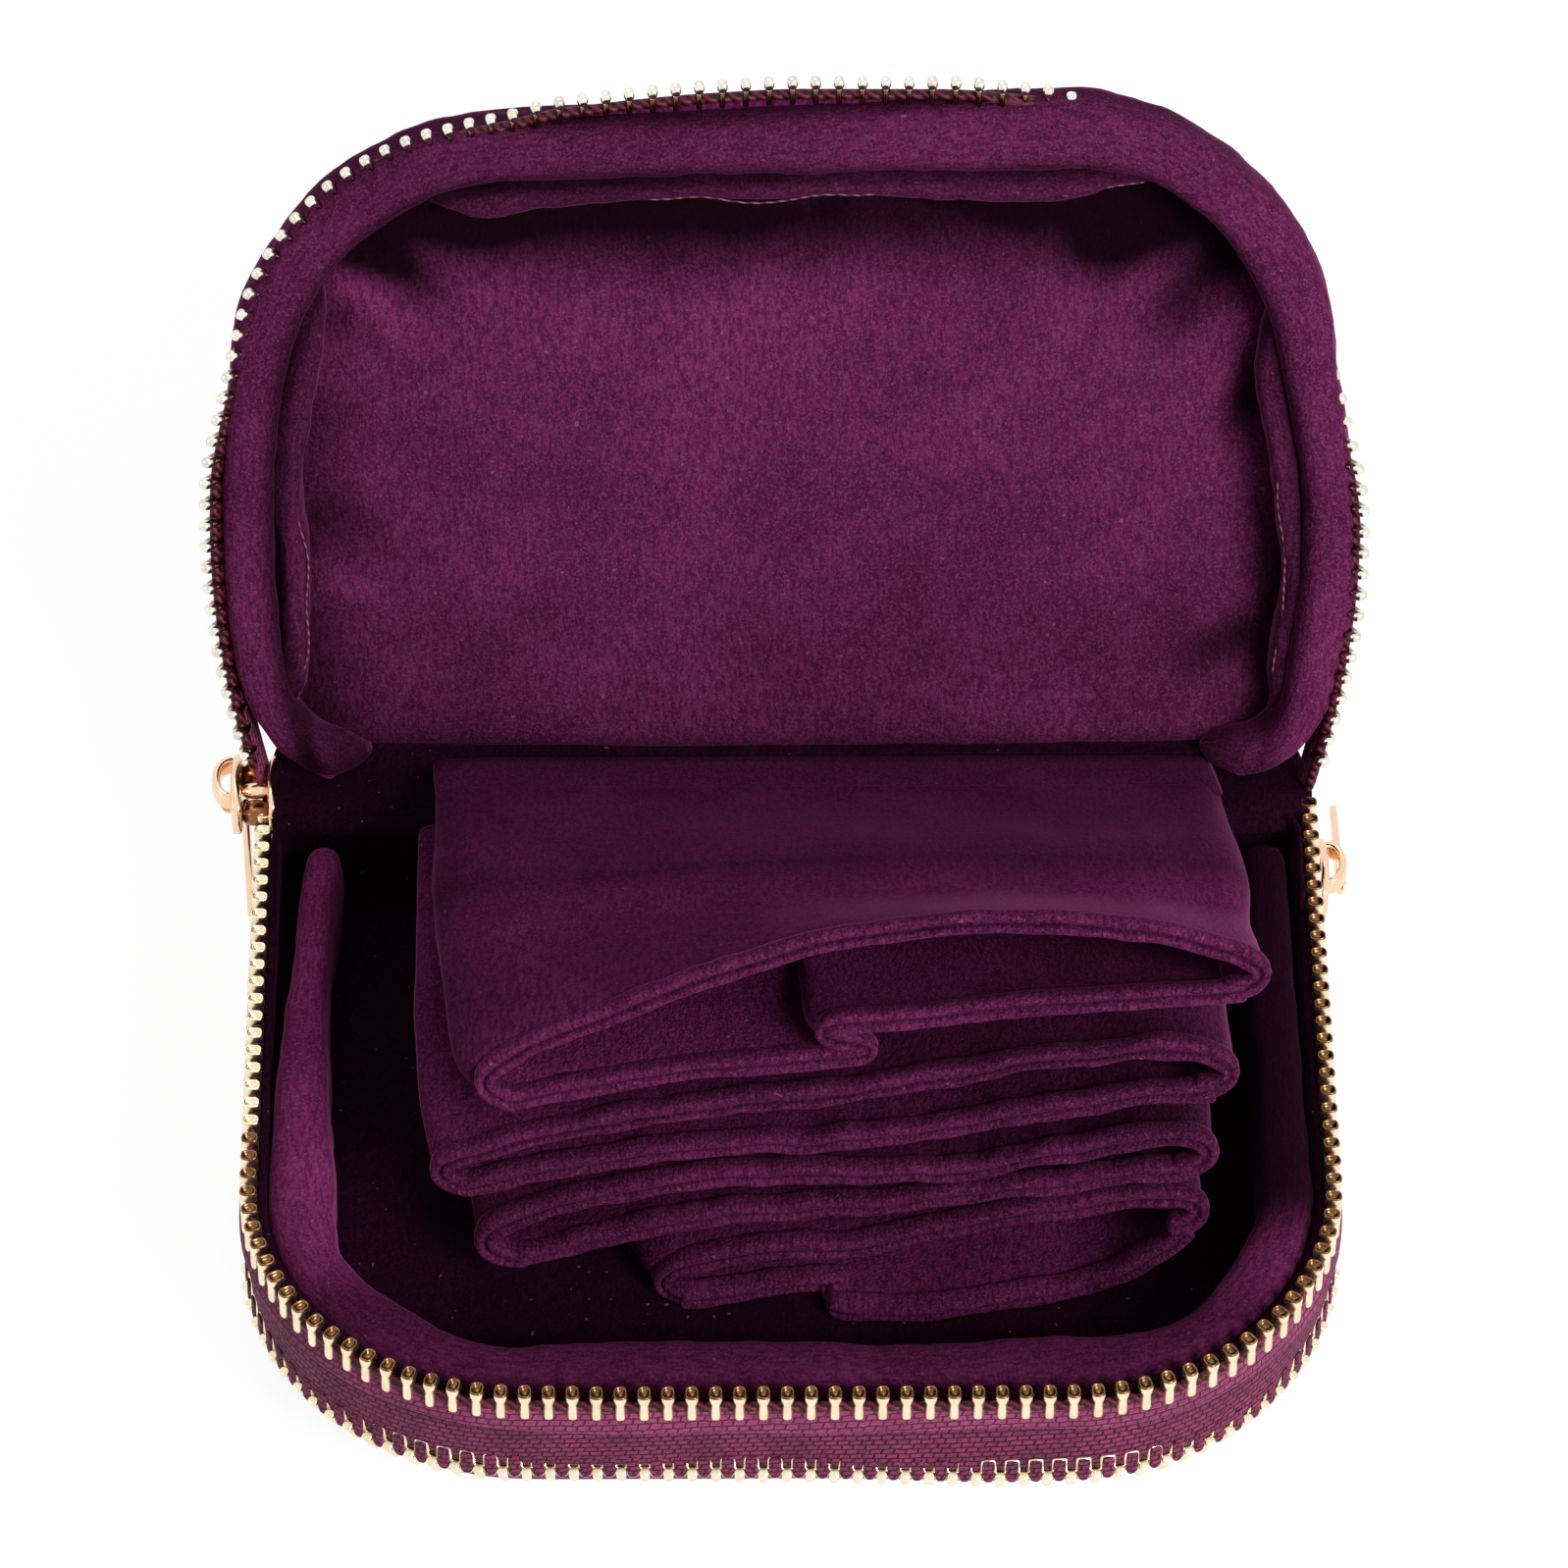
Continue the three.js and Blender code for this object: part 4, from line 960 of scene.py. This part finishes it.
def cloth_strip(name, profile, spans, thickness, material, columns=30, *, ripple, seed):
    """A soft strip along X through a profile of (y, z), with its own left and right end at each profile point."""
    profile, spans = np.asarray(profile, float), np.asarray(spans, float)
    tangent = unit(np.gradient(profile, axis=0))
    u = np.linspace(0, 1, columns)
    x = spans[:, :1] + (spans[:, 1:] - spans[:, :1]) * u
    middle = np.stack(np.broadcast_arrays(x, profile[:, :1], profile[:, 1:]), -1)
    normals = np.column_stack([np.zeros(len(profile)), tangent[:, 1], -tangent[:, 0]])[:, None]
    wave = np.array([[ripple * fbm((x, y * 2, z * 2), 9, seed) for x, y, z in row] for row in middle])
    edge = np.minimum(1, np.minimum(u, 1 - u) * 12 + 0.35)
    return two_faced(name, middle, normals, 0.5 * thickness * edge, 0, wave, material)


def back_band(name, inset, radius, start, levels, seed):
    """A band of cloth round the back: from one side at y = start, round both corners, to the other side.

    levels are rows of (height, how far out)."""
    side, back = HALF_WIDTH - inset, BACK_Y
    turn = np.linspace(0, math.pi / 2, 9)
    arc = np.stack([radius - side - radius * np.cos(turn), back - radius + radius * np.sin(turn)], 1)
    flank = np.stack([np.full(6, -side), np.linspace(start, back - radius, 7)[:-1]], 1)
    left = np.concatenate([flank, arc])
    across = np.stack([np.linspace(radius - side, side - radius, 34)[1:-1], np.full(32, back)], 1)
    path = np.concatenate([left, across, left[::-1] * [-1, 1]])
    tangent = unit(np.gradient(path, axis=0))
    outward = np.column_stack([-tangent[:, 1], tangent[:, 0], np.zeros(len(path))])
    middle = np.array([np.column_stack([path, np.full(len(path), height)]) for height, out in levels])
    wave = np.array([[0.12 * fbm(p, 8, seed) for p in row] for row in middle])
    # Near-black velvet, painted shade at the back of the case.
    return two_faced(name, middle, outward, 0.5, np.array(levels)[:, 1:], wave, plum_shade)


def build_hinges():
    """Velvet round the back of the tray and across both hinges. The lid's floor rolls over the upper one."""
    y, z = joint_place("pocket_1_open")
    lean = math.radians(TILTS[1][1])
    profile = [
        (y + t * math.cos(lean) + low * math.sin(lean), z - t * math.sin(lean) - low * math.cos(lean))
        for t, low in ((-3, 0.5), (-1, 0.3), (0.6, 0.05), (2.4, 0), (4.2, 0), (6.0, 0), (7.8, 0), (9.6, 0), (11.4, 0))
    ]
    spans = [(-38.8 - 0.1 * i, 48.3 - 0.12 * i) for i in range(9)]
    roll = cloth_strip("hinge_lining", profile, spans, 1.1, plum, ripple=0.06, seed=11)
    # Painted shade, darker toward the back.
    shade(roll, lambda points: 0.36 + 0.5 * smooth((points[:, 1] - 46.0) / 3.0))
    settle_across(roll)
    cloth((87.4, 14.6))

    levels = [(12.2, 0), (16.0, 0), (20.0, 0), (23.0, 0), (25.9, 0.1)]
    wall = back_band("tray_back_wall", 1.4, 3.5, 27.0, levels, 12)
    settle(wall, "tray", ["tray_hinge_band"])
    cloth((140, 13.9))

    levels = [(7.2, -0.2), (9.0, 0.0), (10.6, 0.0), (12.0, -0.2)]
    settle(back_band("base_back_wall", 2.6, 5.0, 30.0, levels, 16), "base")

    low = [(41.0, 7.6), (41.9, 9.4), (42.4, 11.2), (42.4, 12.8), (41.9, 14.6)]
    strip = cloth_strip("base_hinge_cloth", low, [(-47.5, 47.5)] * 5, 1.0, plum, ripple=0.12, seed=13)
    settle_across(strip, ["base_hinge_band"])

    top = [
        (39.6, 23.6), (41.0, 25.4), (43.0, 26.0), (45.4, 25.6), (47.4, 25.2), (49.6, 25.5), (52.0, 26.3), (54.4, 27.4),
    ]
    spans = [
        (-58, 57.4), (-58.2, 58.2), (-58.3, 58.6), (-58.3, 58.6), (-58, 58.2), (-57.4, 57.6), (-56.6, 56.6),
        (-55.4, 55.4),
    ]
    # Near-black velvet, painted shade in the hollow behind the hinge.
    strip = cloth_strip("lid_hinge_cloth", top, spans, 1.2, plum_shade, columns=44, ripple=0.14, seed=14)
    settle_across(strip, ["lid_hinge_band"])
    cloth((117.4, 16.6))


# Pockets: each is a flattened velvet tube whose open end faces the front, with a sewn hem round it.

REACH = 56.0
FLOOR = 14.9
# How far a point moves back for each millimetre it is lifted, to stay at its place as the camera sees it.
SCREEN = 0.6587 / 0.7524
# For each pocket from the top: its rim along the upper panel, along the lower one and at the two folds between
# them, as (x, tilt in degrees), and its left and right edges, as (share of the way to the front, x).
POCKETS = {
    1: {
        "upper": [
            (-31.2, 15.6), (-25.5, 19.2), (-17.2, 22.6), (-6.9, 27.1), (5.4, 30.9),
            (19.7, 32.5), (35.1, 31.9), (43.3, 29.7), (47.9, 28.3),
        ],
        "lower": [
            (47.8, 26.4), (39.0, 26.0), (30.1, 25.2), (20.0, 24.2), (9.5, 23.0), (4.2, 22.6), (2.5, 21.6),
            (4.2, 20.7), (7.2, 20.5), (8.9, 19.5), (7.2, 18.5), (-4.9, 17.9), (-17.3, 16.2), (-30.6, 12.9),
        ],
        "folds": [(-33.4, 14.3), (50.0, 27.3)],
        "left": [(0, -40.1), (0.62, -38.6), (0.93, -37.0), (1, -34.0)],
        "right": [(0, 48.3), (0.5, 49.4), (0.71, 50.0), (1, 50.0)],
    },
    2: {
        "upper": [
            (-36.0, 8.0), (-27.7, 10.4), (-17.3, 13.2), (-0.8, 15.7), (7.5, 16.9),
            (19.9, 19.2), (30.2, 21.0), (40.4, 21.9), (45.0, 20.8),
        ],
        "lower": [
            (44.8, 18.7), (35.4, 17.8), (20.0, 14.6), (2.4, 12.1), (-2.8, 11.9), (-17.3, 10.4), (-35.6, 5.6),
        ],
        "folds": [(-38.4, 6.8), (47.0, 19.7)],
        "left": [(0, -41.8), (0.6, -41.4), (0.83, -40.6), (1, -38.8)],
        "right": [(0, 46.0), (0.5, 46.8), (1, 47.0)],
    },
    3: {
        "upper": [
            (-31.6, 2.3), (-24.0, 5.8), (-11.8, 9.4), (2.7, 9.9), (9.7, 10.2), (16.6, 9.6),
            (25.1, 11.9), (33.7, 13.9), (41.6, 15.6),
        ],
        "lower": [
            (42.8, 12.6), (33.1, 11.3), (22.0, 9.6), (11.8, 7.7), (5.5, 7.6), (-11.9, 5.6), (-30.4, -1.6),
        ],
        "folds": [(-33.6, 0.4), (45.0, 14.4)],
        "left": [(0, -38.0), (0.6, -37.5), (1, -34.0)],
        "right": [(0, 45.0), (0.6, 45.6), (1, 45.2)],
    },
    4: {
        "upper": [(-12.6, 0.4), (-4.9, 3.0), (7.0, 3.0), (16.6, 6.6), (30.3, 9.4), (40.7, 11.2)],
        "lower": [
            (42.4, 8.2), (40.0, 4.6), (34.3, -0.4), (23.8, -3.6), (13.4, -5.8), (5.0, -5.6), (3.2, -3.8),
            (5.2, -2.3), (7.0, -0.9), (4.0, -0.2), (-0.4, -0.8), (-12.0, -3.4),
        ],
        "folds": [(-14.8, -1.4), (44.0, 10.6)],
        "left": [(0, -34.0), (0.5, -30.0), (1, -15.4)],
        "right": [(0, 44.0), (0.6, 44.6), (1, 44.4)],
    },
}
TILTS = {1: (22.5, 29.0), 2: (14.0, 18.0), 3: (8.0, 10.5), 4: (0.0, 5.0)}

HEM = [
    (1.10, -2.6), (1.26, -1.3), (1.16, -0.35), (0.74, 0.05), (0.32, -0.16), (0.0, -0.62),
    (-0.32, -0.16), (-0.74, 0.05), (-1.16, -0.35), (-1.26, -1.3), (-1.10, -2.6), (-0.6, -2.9), (0.0, -3.0), (0.6, -2.9),
]
# Half of a panel's thickness, and the share of its height that a pocket is to keep under the shut lid, which is only
# stored with each panel and not applied here.
PANEL_HALF = 0.55
POCKET_KEEP = 0.14
# For each pocket from the top: how lumpy its rim is, and how much painted shade its panels and its hems get.
LUMPS = (0.25, 0.5, 0.7, 0.6)
PANEL_SHADE = (0.24, 0.34, 0.58, 0.42)
HEM_SHADE = (0.12, 0.22, 0.28, 0.30)


def joint_place(name):
    found = [j for j in frame["joints"] if j["name"] == name][0]["pos_m"]
    return found[1] / MM, found[2] / MM


def pocket_roots(k):
    """Where the lower and the upper panel start at the back, as (y, z)."""
    return np.array([joint_place(f"pocket_{k}_lift") if k < 4 else (36.6, 16.45), joint_place(f"pocket_{k}_open")])


def resample(points, step=1.1):
    """Even points along a polyline, rounded through its corners."""
    points = np.asarray(points, float)
    for _ in range(3):
        a, b = points[:-1], points[1:]
        cut = np.stack([0.75 * a + 0.25 * b, 0.25 * a + 0.75 * b], 1).reshape(-1, points.shape[1])
        points = np.concatenate([points[:1], cut, points[-1:]])
    along = running(points[:, :2])
    even = np.linspace(0, along[-1], max(4, int(along[-1] / step)))
    return np.stack([np.interp(even, along, column) for column in points.T], 1)


def pocket_loops(k):
    """The rim's upper and lower halves as rows of (x, tilt, share of the upper root)."""
    data = POCKETS[k]
    (lx, lt), (rx, rt) = data["folds"]
    upper = [(x, t, 1.0) for x, t in data["upper"]]
    lower = [(x, t, 0.0) for x, t in data["lower"]]
    (x_r, t_r, _), (x_l, t_l, _) = lower[0], lower[-1]
    left = [(x_l + 2.5, t_l, 0.1), (x_l, t_l, 0.2), (lx, lt, 0.5)]
    right = [(rx, rt, 0.5), (x_r, t_r, 0.2), (x_r - 2.5, t_r, 0.1)]
    return resample(left + upper + right), resample(lower)


def pocket_points(k, rows, s):
    """Where rows of the rim lie at a share s of the way from the root to the front, and how far they are tilted."""
    data, roots = POCKETS[k], pocket_roots(k)
    low, high = TILTS[k]
    x, t, share = rows.T
    front = [data[side][-1][1] for side in ("left", "right")]
    here = [np.interp(s, *zip(*data[side])) for side in ("left", "right")]
    lumps = np.array([fbm((value, 9 * k, 4 * way), 8, k + 40) for value, way in zip(x, share)])
    x = here[0] + (x - front[0]) * (here[1] - here[0]) / (front[1] - front[0])
    t = t + LUMPS[k - 1] * lumps
    mean = low + (high - low) * share
    tilt = np.radians(mean + (t - mean) * s**1.25)
    root = roots[0] + (roots[1] - roots[0]) * share[:, None]
    r = REACH * s
    y, z = root[:, 0] - r * np.cos(tilt), root[:, 1] + r * np.sin(tilt)
    lift = np.maximum(0, FLOOR + 0.6 - z)
    return np.stack([x, y - lift * SCREEN, z + lift], 1), tilt


def pocket_frame(points, tilt):
    """For points along a rim: the direction to the front, and the direction out of the pocket."""
    ahead = np.stack([np.zeros_like(tilt), -np.cos(tilt), np.sin(tilt)], 1)
    return ahead, unit(np.cross(unit(np.gradient(points, axis=0)), ahead))


def top_shade(points):
    """Painted shade on the top panel: darker toward its back and its left side, with a dark line along one crease and
    painted light beside it.
    """
    x, y, z = points.T
    lit = smooth((x + 16) / 44) * smooth((15 - y) / 22)
    length, crease_at, light_at = 50.7, 0.50, 0.66
    share = (joint_place("pocket_1_open")[0] - y) / length
    # Painted shade along the crease, and painted light beside it.
    fold = 0.14 * np.exp(-(((share - crease_at) / 0.035) ** 2)) - 0.16 * np.exp(-(((share - light_at) / 0.10) ** 2))
    return np.clip(0.56 * (1 - 0.93 * lit) + fold + 0.08 * smooth((-x - 26) / 10), 0, 0.95)


def unrolled(middle):
    """The flat width and length of the cut that a panel's middle surface is laid out from, and the cut's area."""
    across = np.linalg.norm(np.diff(middle, axis=1), axis=2)
    along = np.linalg.norm(np.diff(middle, axis=0), axis=2)
    wide, long = across.sum(axis=1), along.sum(axis=0)
    return (wide.max(), long.max()), wide.mean() * long.mean()


def build_panel(k, part, rows, body, mean, root):
    top = (k, part) == (1, "upper")
    lean = math.radians(mean)
    flat = {
        "joint": "lid_hinge",
        "axis": (0, math.sin(lean), math.cos(lean)),
        "anchor": (0, root[0] * MM, root[1] * MM),
        "keep": POCKET_KEEP,
    }
    outer, inner = [], []
    for s in np.concatenate([[0.0, 0.006, 0.02], np.linspace(0.075, 0.9, 12), [0.94, 0.975]]):
        points, tilt = pocket_points(k, rows, s)
        out = pocket_frame(points, tilt)[1]
        bulge = np.array([0.35 * fbm((p[0], p[1], 3 * k), 10, k) for p in points])[:, None] * math.sin(math.pi * s)
        if top:
            ridge = math.exp(-(((s - 0.70) / 0.12) ** 2)) * np.clip((points[:, 0] + 40) / 60, 0, 1)
            bulge = bulge + 1.1 * ridge[:, None] - 0.8 * math.exp(-(((s - 0.45) / 0.2) ** 2))
        points = points + out * bulge
        outer.append(points + out * PANEL_HALF)
        inner.append(points - out * PANEL_HALF)
    outer, inner = np.array(outer), np.array(inner)
    # The top panel gets the brighter copy of the velvet, painted light.
    sheet = closed_sheet(f"pocket_{k}_{part}_cloth", outer, inner, plum_top_lit if top else plum)
    # Painted shade: each panel is evenly darker by its pocket's level, the inside of the top pocket barely.
    level = 0.02 if (k, part) == (1, "lower") else PANEL_SHADE[k - 1]
    shade(sheet, top_shade if top else lambda points: level)
    settle(sheet, body, [f"pocket_{k}_{part}"], flat)

    points, tilt = pocket_points(k, rows, 1.0)
    ahead, out = pocket_frame(points, tilt)
    wave = np.array([(0.16 if k == 1 else 0.30) * fbm(p, 3.2, k + 20) for p in points])[:, None]
    rings = [points + out * (n * (1 + wave)) + ahead * (d + 0.1) for n, d in HEM]
    hem = tube(f"pocket_{k}_{part}_hem", np.array(rings).transpose(1, 0, 2), plum_hem)
    shade(hem, lambda points: HEM_SHADE[k - 1])
    settle(hem, body, squash=flat)
    cut, area = unrolled((outer + inner) / 2)
    cloth(cut, area)


def build_pockets():
    for k in POCKETS:
        upper, lower = pocket_loops(k)
        roots, (low, high) = pocket_roots(k), TILTS[k]
        build_panel(k, "upper", upper, f"pocket_{k}_top", high, roots[1])
        build_panel(k, "lower", lower, "tray" if k == 4 else f"pocket_{k}_bottom", low, roots[0])
    profile = [(38.2, 14.2), (38.4, 18.0), (39.0, 22.0), (39.6, 25.6), (40.0, 28.2), (40.2, 29.6)]
    spans = [(-34, 44), (-37, 44), (-38.5, 44.5), (-39, 45), (-39, 46), (-39, 47)]
    spine = cloth_strip("pocket_spine_cloth", profile, spans, 1.4, plum, ripple=0.15, seed=15)
    settle(spine, "tray", ["pocket_spine"])
    cloth((86, 15.8))


# Sliders and pulls


def bar(name, path, half_width, half_height, material, wide=(1, 0, 0), square=0.6, count=10):
    """A rounded bar along a path of points. wide is the direction that its width lies along."""
    path, wide = np.asarray(path, float), np.asarray(wide, float)
    tangent = unit(np.gradient(path, axis=0))
    side = unit(wide - tangent * (tangent @ wide)[:, None])
    across, over = rounded(count, square)
    size = np.ones(len(path))
    size[0] = size[-1] = 0.72
    rings = [
        p + k * (half_width * across[:, None] * a + half_height * over[:, None] * b)
        for p, a, b, k in zip(path, side, np.cross(tangent, side), size)
    ]
    return tube(name, np.array(rings), material)


def join(name, pieces):
    """One object from several."""
    with bpy.context.temp_override(
        active_object=pieces[0], object=pieces[0], selected_editable_objects=pieces, selected_objects=pieces
    ):
        bpy.ops.object.join()
    pieces[0].name = name
    return pieces[0]


def lens_plate(name, x, thick, y0, y1, z, tall):
    """A slider's plate: long, rounded at both ends, and curved over its face."""
    across, over = rounded(12, 0.5)
    rings = []
    for share in np.linspace(0, 1, 13):
        half = tall * (0.22 + 0.78 * math.sin(math.pi * (0.12 + 0.76 * share)) ** 0.6)
        middle = x + math.copysign(0.28 * math.sin(math.pi * share), x)
        y = np.full(12, y0 + (y1 - y0) * share)
        rings.append(np.stack([middle + thick / 2 * across, y, z + half * over], 1))
    return tube(name, np.array(rings), rose_gold)


def build_slider(node, side, z, outer, inner, back):
    """A slider round its chain: two curved plates, the post that parts them, and the bail the pull hangs from."""
    name = f"{node}_body"
    pieces = [
        lens_plate(f"{name}_plate", side * outer, 1.25, back - 9.0, back, z, 3.2),
        lens_plate(f"{name}_inner", side * inner, 0.95, back - 8.8, back - 0.2, z, 3.0),
    ]
    # The wedge and the throat are dark metal, painted shadow inside the slider's mouth.
    for part, ahead, up, half_width, half_height, material, square in (
        ("post", 4.4, 0.4, 1.05, 1.05, rose_gold, 1.0),
        ("wedge", 1.6, -0.4, 1.3, 2.2, gold_shadow, 0.6),
        ("throat", 6.6, -0.8, 1.5, 1.3, gold_shadow, 0.6),
    ):
        path = [(side * x, back - ahead, z + up) for x in (inner + 0.2, 58.2, 59.4, outer - 0.2)]
        pieces.append(bar(f"{name}_{part}", path, half_width, half_height, material, (0, 1, 0), square))
    loop = [(side * (outer + x), back + y, z + 0.5) for x, y in (
        (0.1, -0.9), (0.9, -0.4), (1.8, -0.8), (2.4, -1.8), (2.6, -3.1), (2.4, -4.6), (1.8, -5.7), (0.9, -6.1),
        (0.1, -5.8),
    )]
    pieces.append(bar(f"{name}_bail", loop, 1.25, 0.55, rose_gold, wide=(0, 0, 1)))
    settle(join(name, pieces), node, [node])


def build_pull(body, side, pivot, points, wide):
    """The flat pull strip, rounded at its end, on the small ring that joins it to the bail."""
    turn = np.radians(np.linspace(0, 345, 18))[:, None]
    centre = np.array(pivot) + [-0.7 * side, 0, -1.1]
    path = centre + 0.95 * (np.cos(turn) * [1.0, 0, 0] + np.sin(turn) * [0, 0, 1.0])
    ring = bar(f"{body}_strip_ring", path, 0.28, 0.28, rose_gold, wide=(0, 1, 0), square=1.0)
    settle(ring, body, [f"{body}_ring"])
    strip = bar(f"{body}_strip_strip", points, 1.3, 0.46, rose_gold, wide=wide, square=0.35, count=12)
    settle(strip, body, [f"{body}_tab"])


def build_sliders():
    build_slider("upper_slider", -1, UPPER_ZIP, 60.8, 56.9, 48.4)
    build_slider("lower_slider", 1, LOWER_ZIP, 60.0, 57.0, 47.6)
    hang = [(-60.1, 43.8, z) for z in (24.6, 24.0, 20.0, 16.0, 12.0, 9.0, 7.4, 6.6)]
    build_pull("upper_pull", -1, (-62.4, 43.2, 26.0), hang, (0, 1, 0))
    lie = [(62.3, y, z) for y, z in (
        (43.4, 10.4), (44.0, 10.2), (47.0, 9.6), (50.0, 9.0), (53.5, 8.4), (56.0, 8.0), (57.2, 7.8), (57.8, 7.7),
    )]
    build_pull("lower_pull", 1, (62.6, 43.2, 12.3), lie, (0, 0, 1))


# Studio


def seen_straight(n, other, background):
    """One shader for light on the object, and another for what the camera sees itself or in metal and glass."""
    rays = [n.add("LightPath", output=f"Is {kind} Ray") for kind in ("Camera", "Glossy", "Transmission")]
    both = n.math("MAXIMUM", n.math("MAXIMUM", rays[0], rays[1]), rays[2])
    return n.add("MixShader", {0: both, 1: other, 2: background})


def build_studio():
    mesh = bpy.data.meshes.new("floor")
    mesh.from_pydata([(-3, -3, 0), (3, -3, 0), (3, 3, 0), (-3, 3, 0)], [], [(0, 1, 2, 3)])
    floor = place_in_scene("floor", mesh)
    n = Material("floor_white")
    for key, value in (("Base Color", (0.80, 0.80, 0.80, 1)), ("Roughness", 0.9), ("Specular IOR Level", 0.1)):
        n.plug(n.shader.inputs[key], value)
    # Seen straight, the floor is white with a faint shadow of the object.
    glow = n.add("Emission", {"Color": (1, 1, 1, 1), "Strength": 0.90})
    pale = n.add("BsdfDiffuse", {"Color": (0.26, 0.26, 0.26, 1)})
    look = seen_straight(n, n.shader.outputs[0], n.add("AddShader", {0: glow, 1: pale}))
    n.plug(n.tree.nodes["Material Output"].inputs["Surface"], look)
    mesh.materials.append(n.material)

    world = bpy.context.scene.world = bpy.data.worlds.new("studio")
    world.use_nodes = True
    world.node_tree.nodes.clear()
    n = Nodes(world.node_tree)
    white = n.add("Background", {"Color": (1, 1, 1, 1), "Strength": 1.0})
    soft = n.add("Background", {"Color": (1.0, 0.99, 0.98, 1), "Strength": 0.20})
    out = n.tree.nodes.new("ShaderNodeOutputWorld")
    n.plug(out.inputs["Surface"], seen_straight(n, soft, white))

    for name, place, aim, size, power in (
        ("key", (0.52, -0.68, 0.58), (0, 0, 0.05), 0.42, 9.0),
        ("top", (-0.10, 0.40, 0.76), (0, 0, 0.04), 0.35, 1.1),
        ("left", (-0.80, -0.10, 0.35), (0, 0, 0.05), 0.40, 0.5),
    ):
        data = bpy.data.lights.new(name, "AREA")
        data.shape, data.size, data.energy = "SQUARE", size, power
        light = place_in_scene(name, data)
        light.location = place
        light.rotation_mode = "QUATERNION"
        light.rotation_quaternion = (Vector(aim) - Vector(place)).to_track_quat("-Z", "Y")


def build_camera():
    """The photograph's camera: a long lens well above the horizon, aimed so the case sits where it does there."""
    elevation, azimuth, roll = math.radians(48.8), math.radians(-0.84), math.radians(0.41)
    distance, focal, width, sensor = 972.5, 9.45 * 972.5, 1598.0, 36.0
    target, seen_at = Vector((0, 0, 26.0)), (805.1, 1110.4)
    level = math.cos(elevation)
    back = Vector((math.sin(azimuth) * level, -math.cos(azimuth) * level, math.sin(elevation)))
    right = (-back).cross(Vector((0, 0, 1))).normalized()
    up = right.cross(-back)
    r = right * math.cos(roll) + up * math.sin(roll)
    u = -right * math.sin(roll) + up * math.cos(roll)
    # The view turns until the target falls at its place in the photograph.
    offset = Vector((seen_at[0] - width / 2, -(seen_at[1] - width / 2)))
    yaw = math.atan2(offset.x, focal)
    pitch = math.atan2(offset.y, math.hypot(offset.x, focal))
    turn = Matrix.Rotation(yaw, 3, "Y") @ Matrix.Rotation(-pitch, 3, "X")
    data = bpy.data.cameras.new("camera")
    data.sensor_width, data.lens = sensor, focal / width * sensor
    data.clip_start, data.clip_end = 0.01, 50
    camera = place_in_scene("camera", data)
    place = Matrix.Translation((target + back * distance) * MM)
    camera.matrix_world = place @ (Matrix((r, u, back)).transposed() @ turn).to_4x4()
    bpy.context.scene.camera = camera
    bpy.context.scene.view_settings.view_transform = "Standard"


build_studio()
build_camera()
build_base()
build_tray_floor()
build_tray_roll()
build_tapes()
build_zips()
build_lid_cover()
build_lid_roll()
build_ridge(0, "left", 3.0, 67.0, 3.0)
build_ridge(1, "top", 78.0, 179.0, 3.3, ["lid_seam_ridge"])
build_ridge(2, "right", 193.0, RAIL - 4.0, 2.4)
build_lid_floor()
build_pockets()
build_hinges()
build_sliders()

for node, material in (
    ("base_board", board_card), ("lid_board", board_card), ("tray_floor_board", plum_lining), ("lid_foam", foam_card)
):
    materials = frame["nodes"][node].data.materials
    materials.clear()
    materials.append(material)
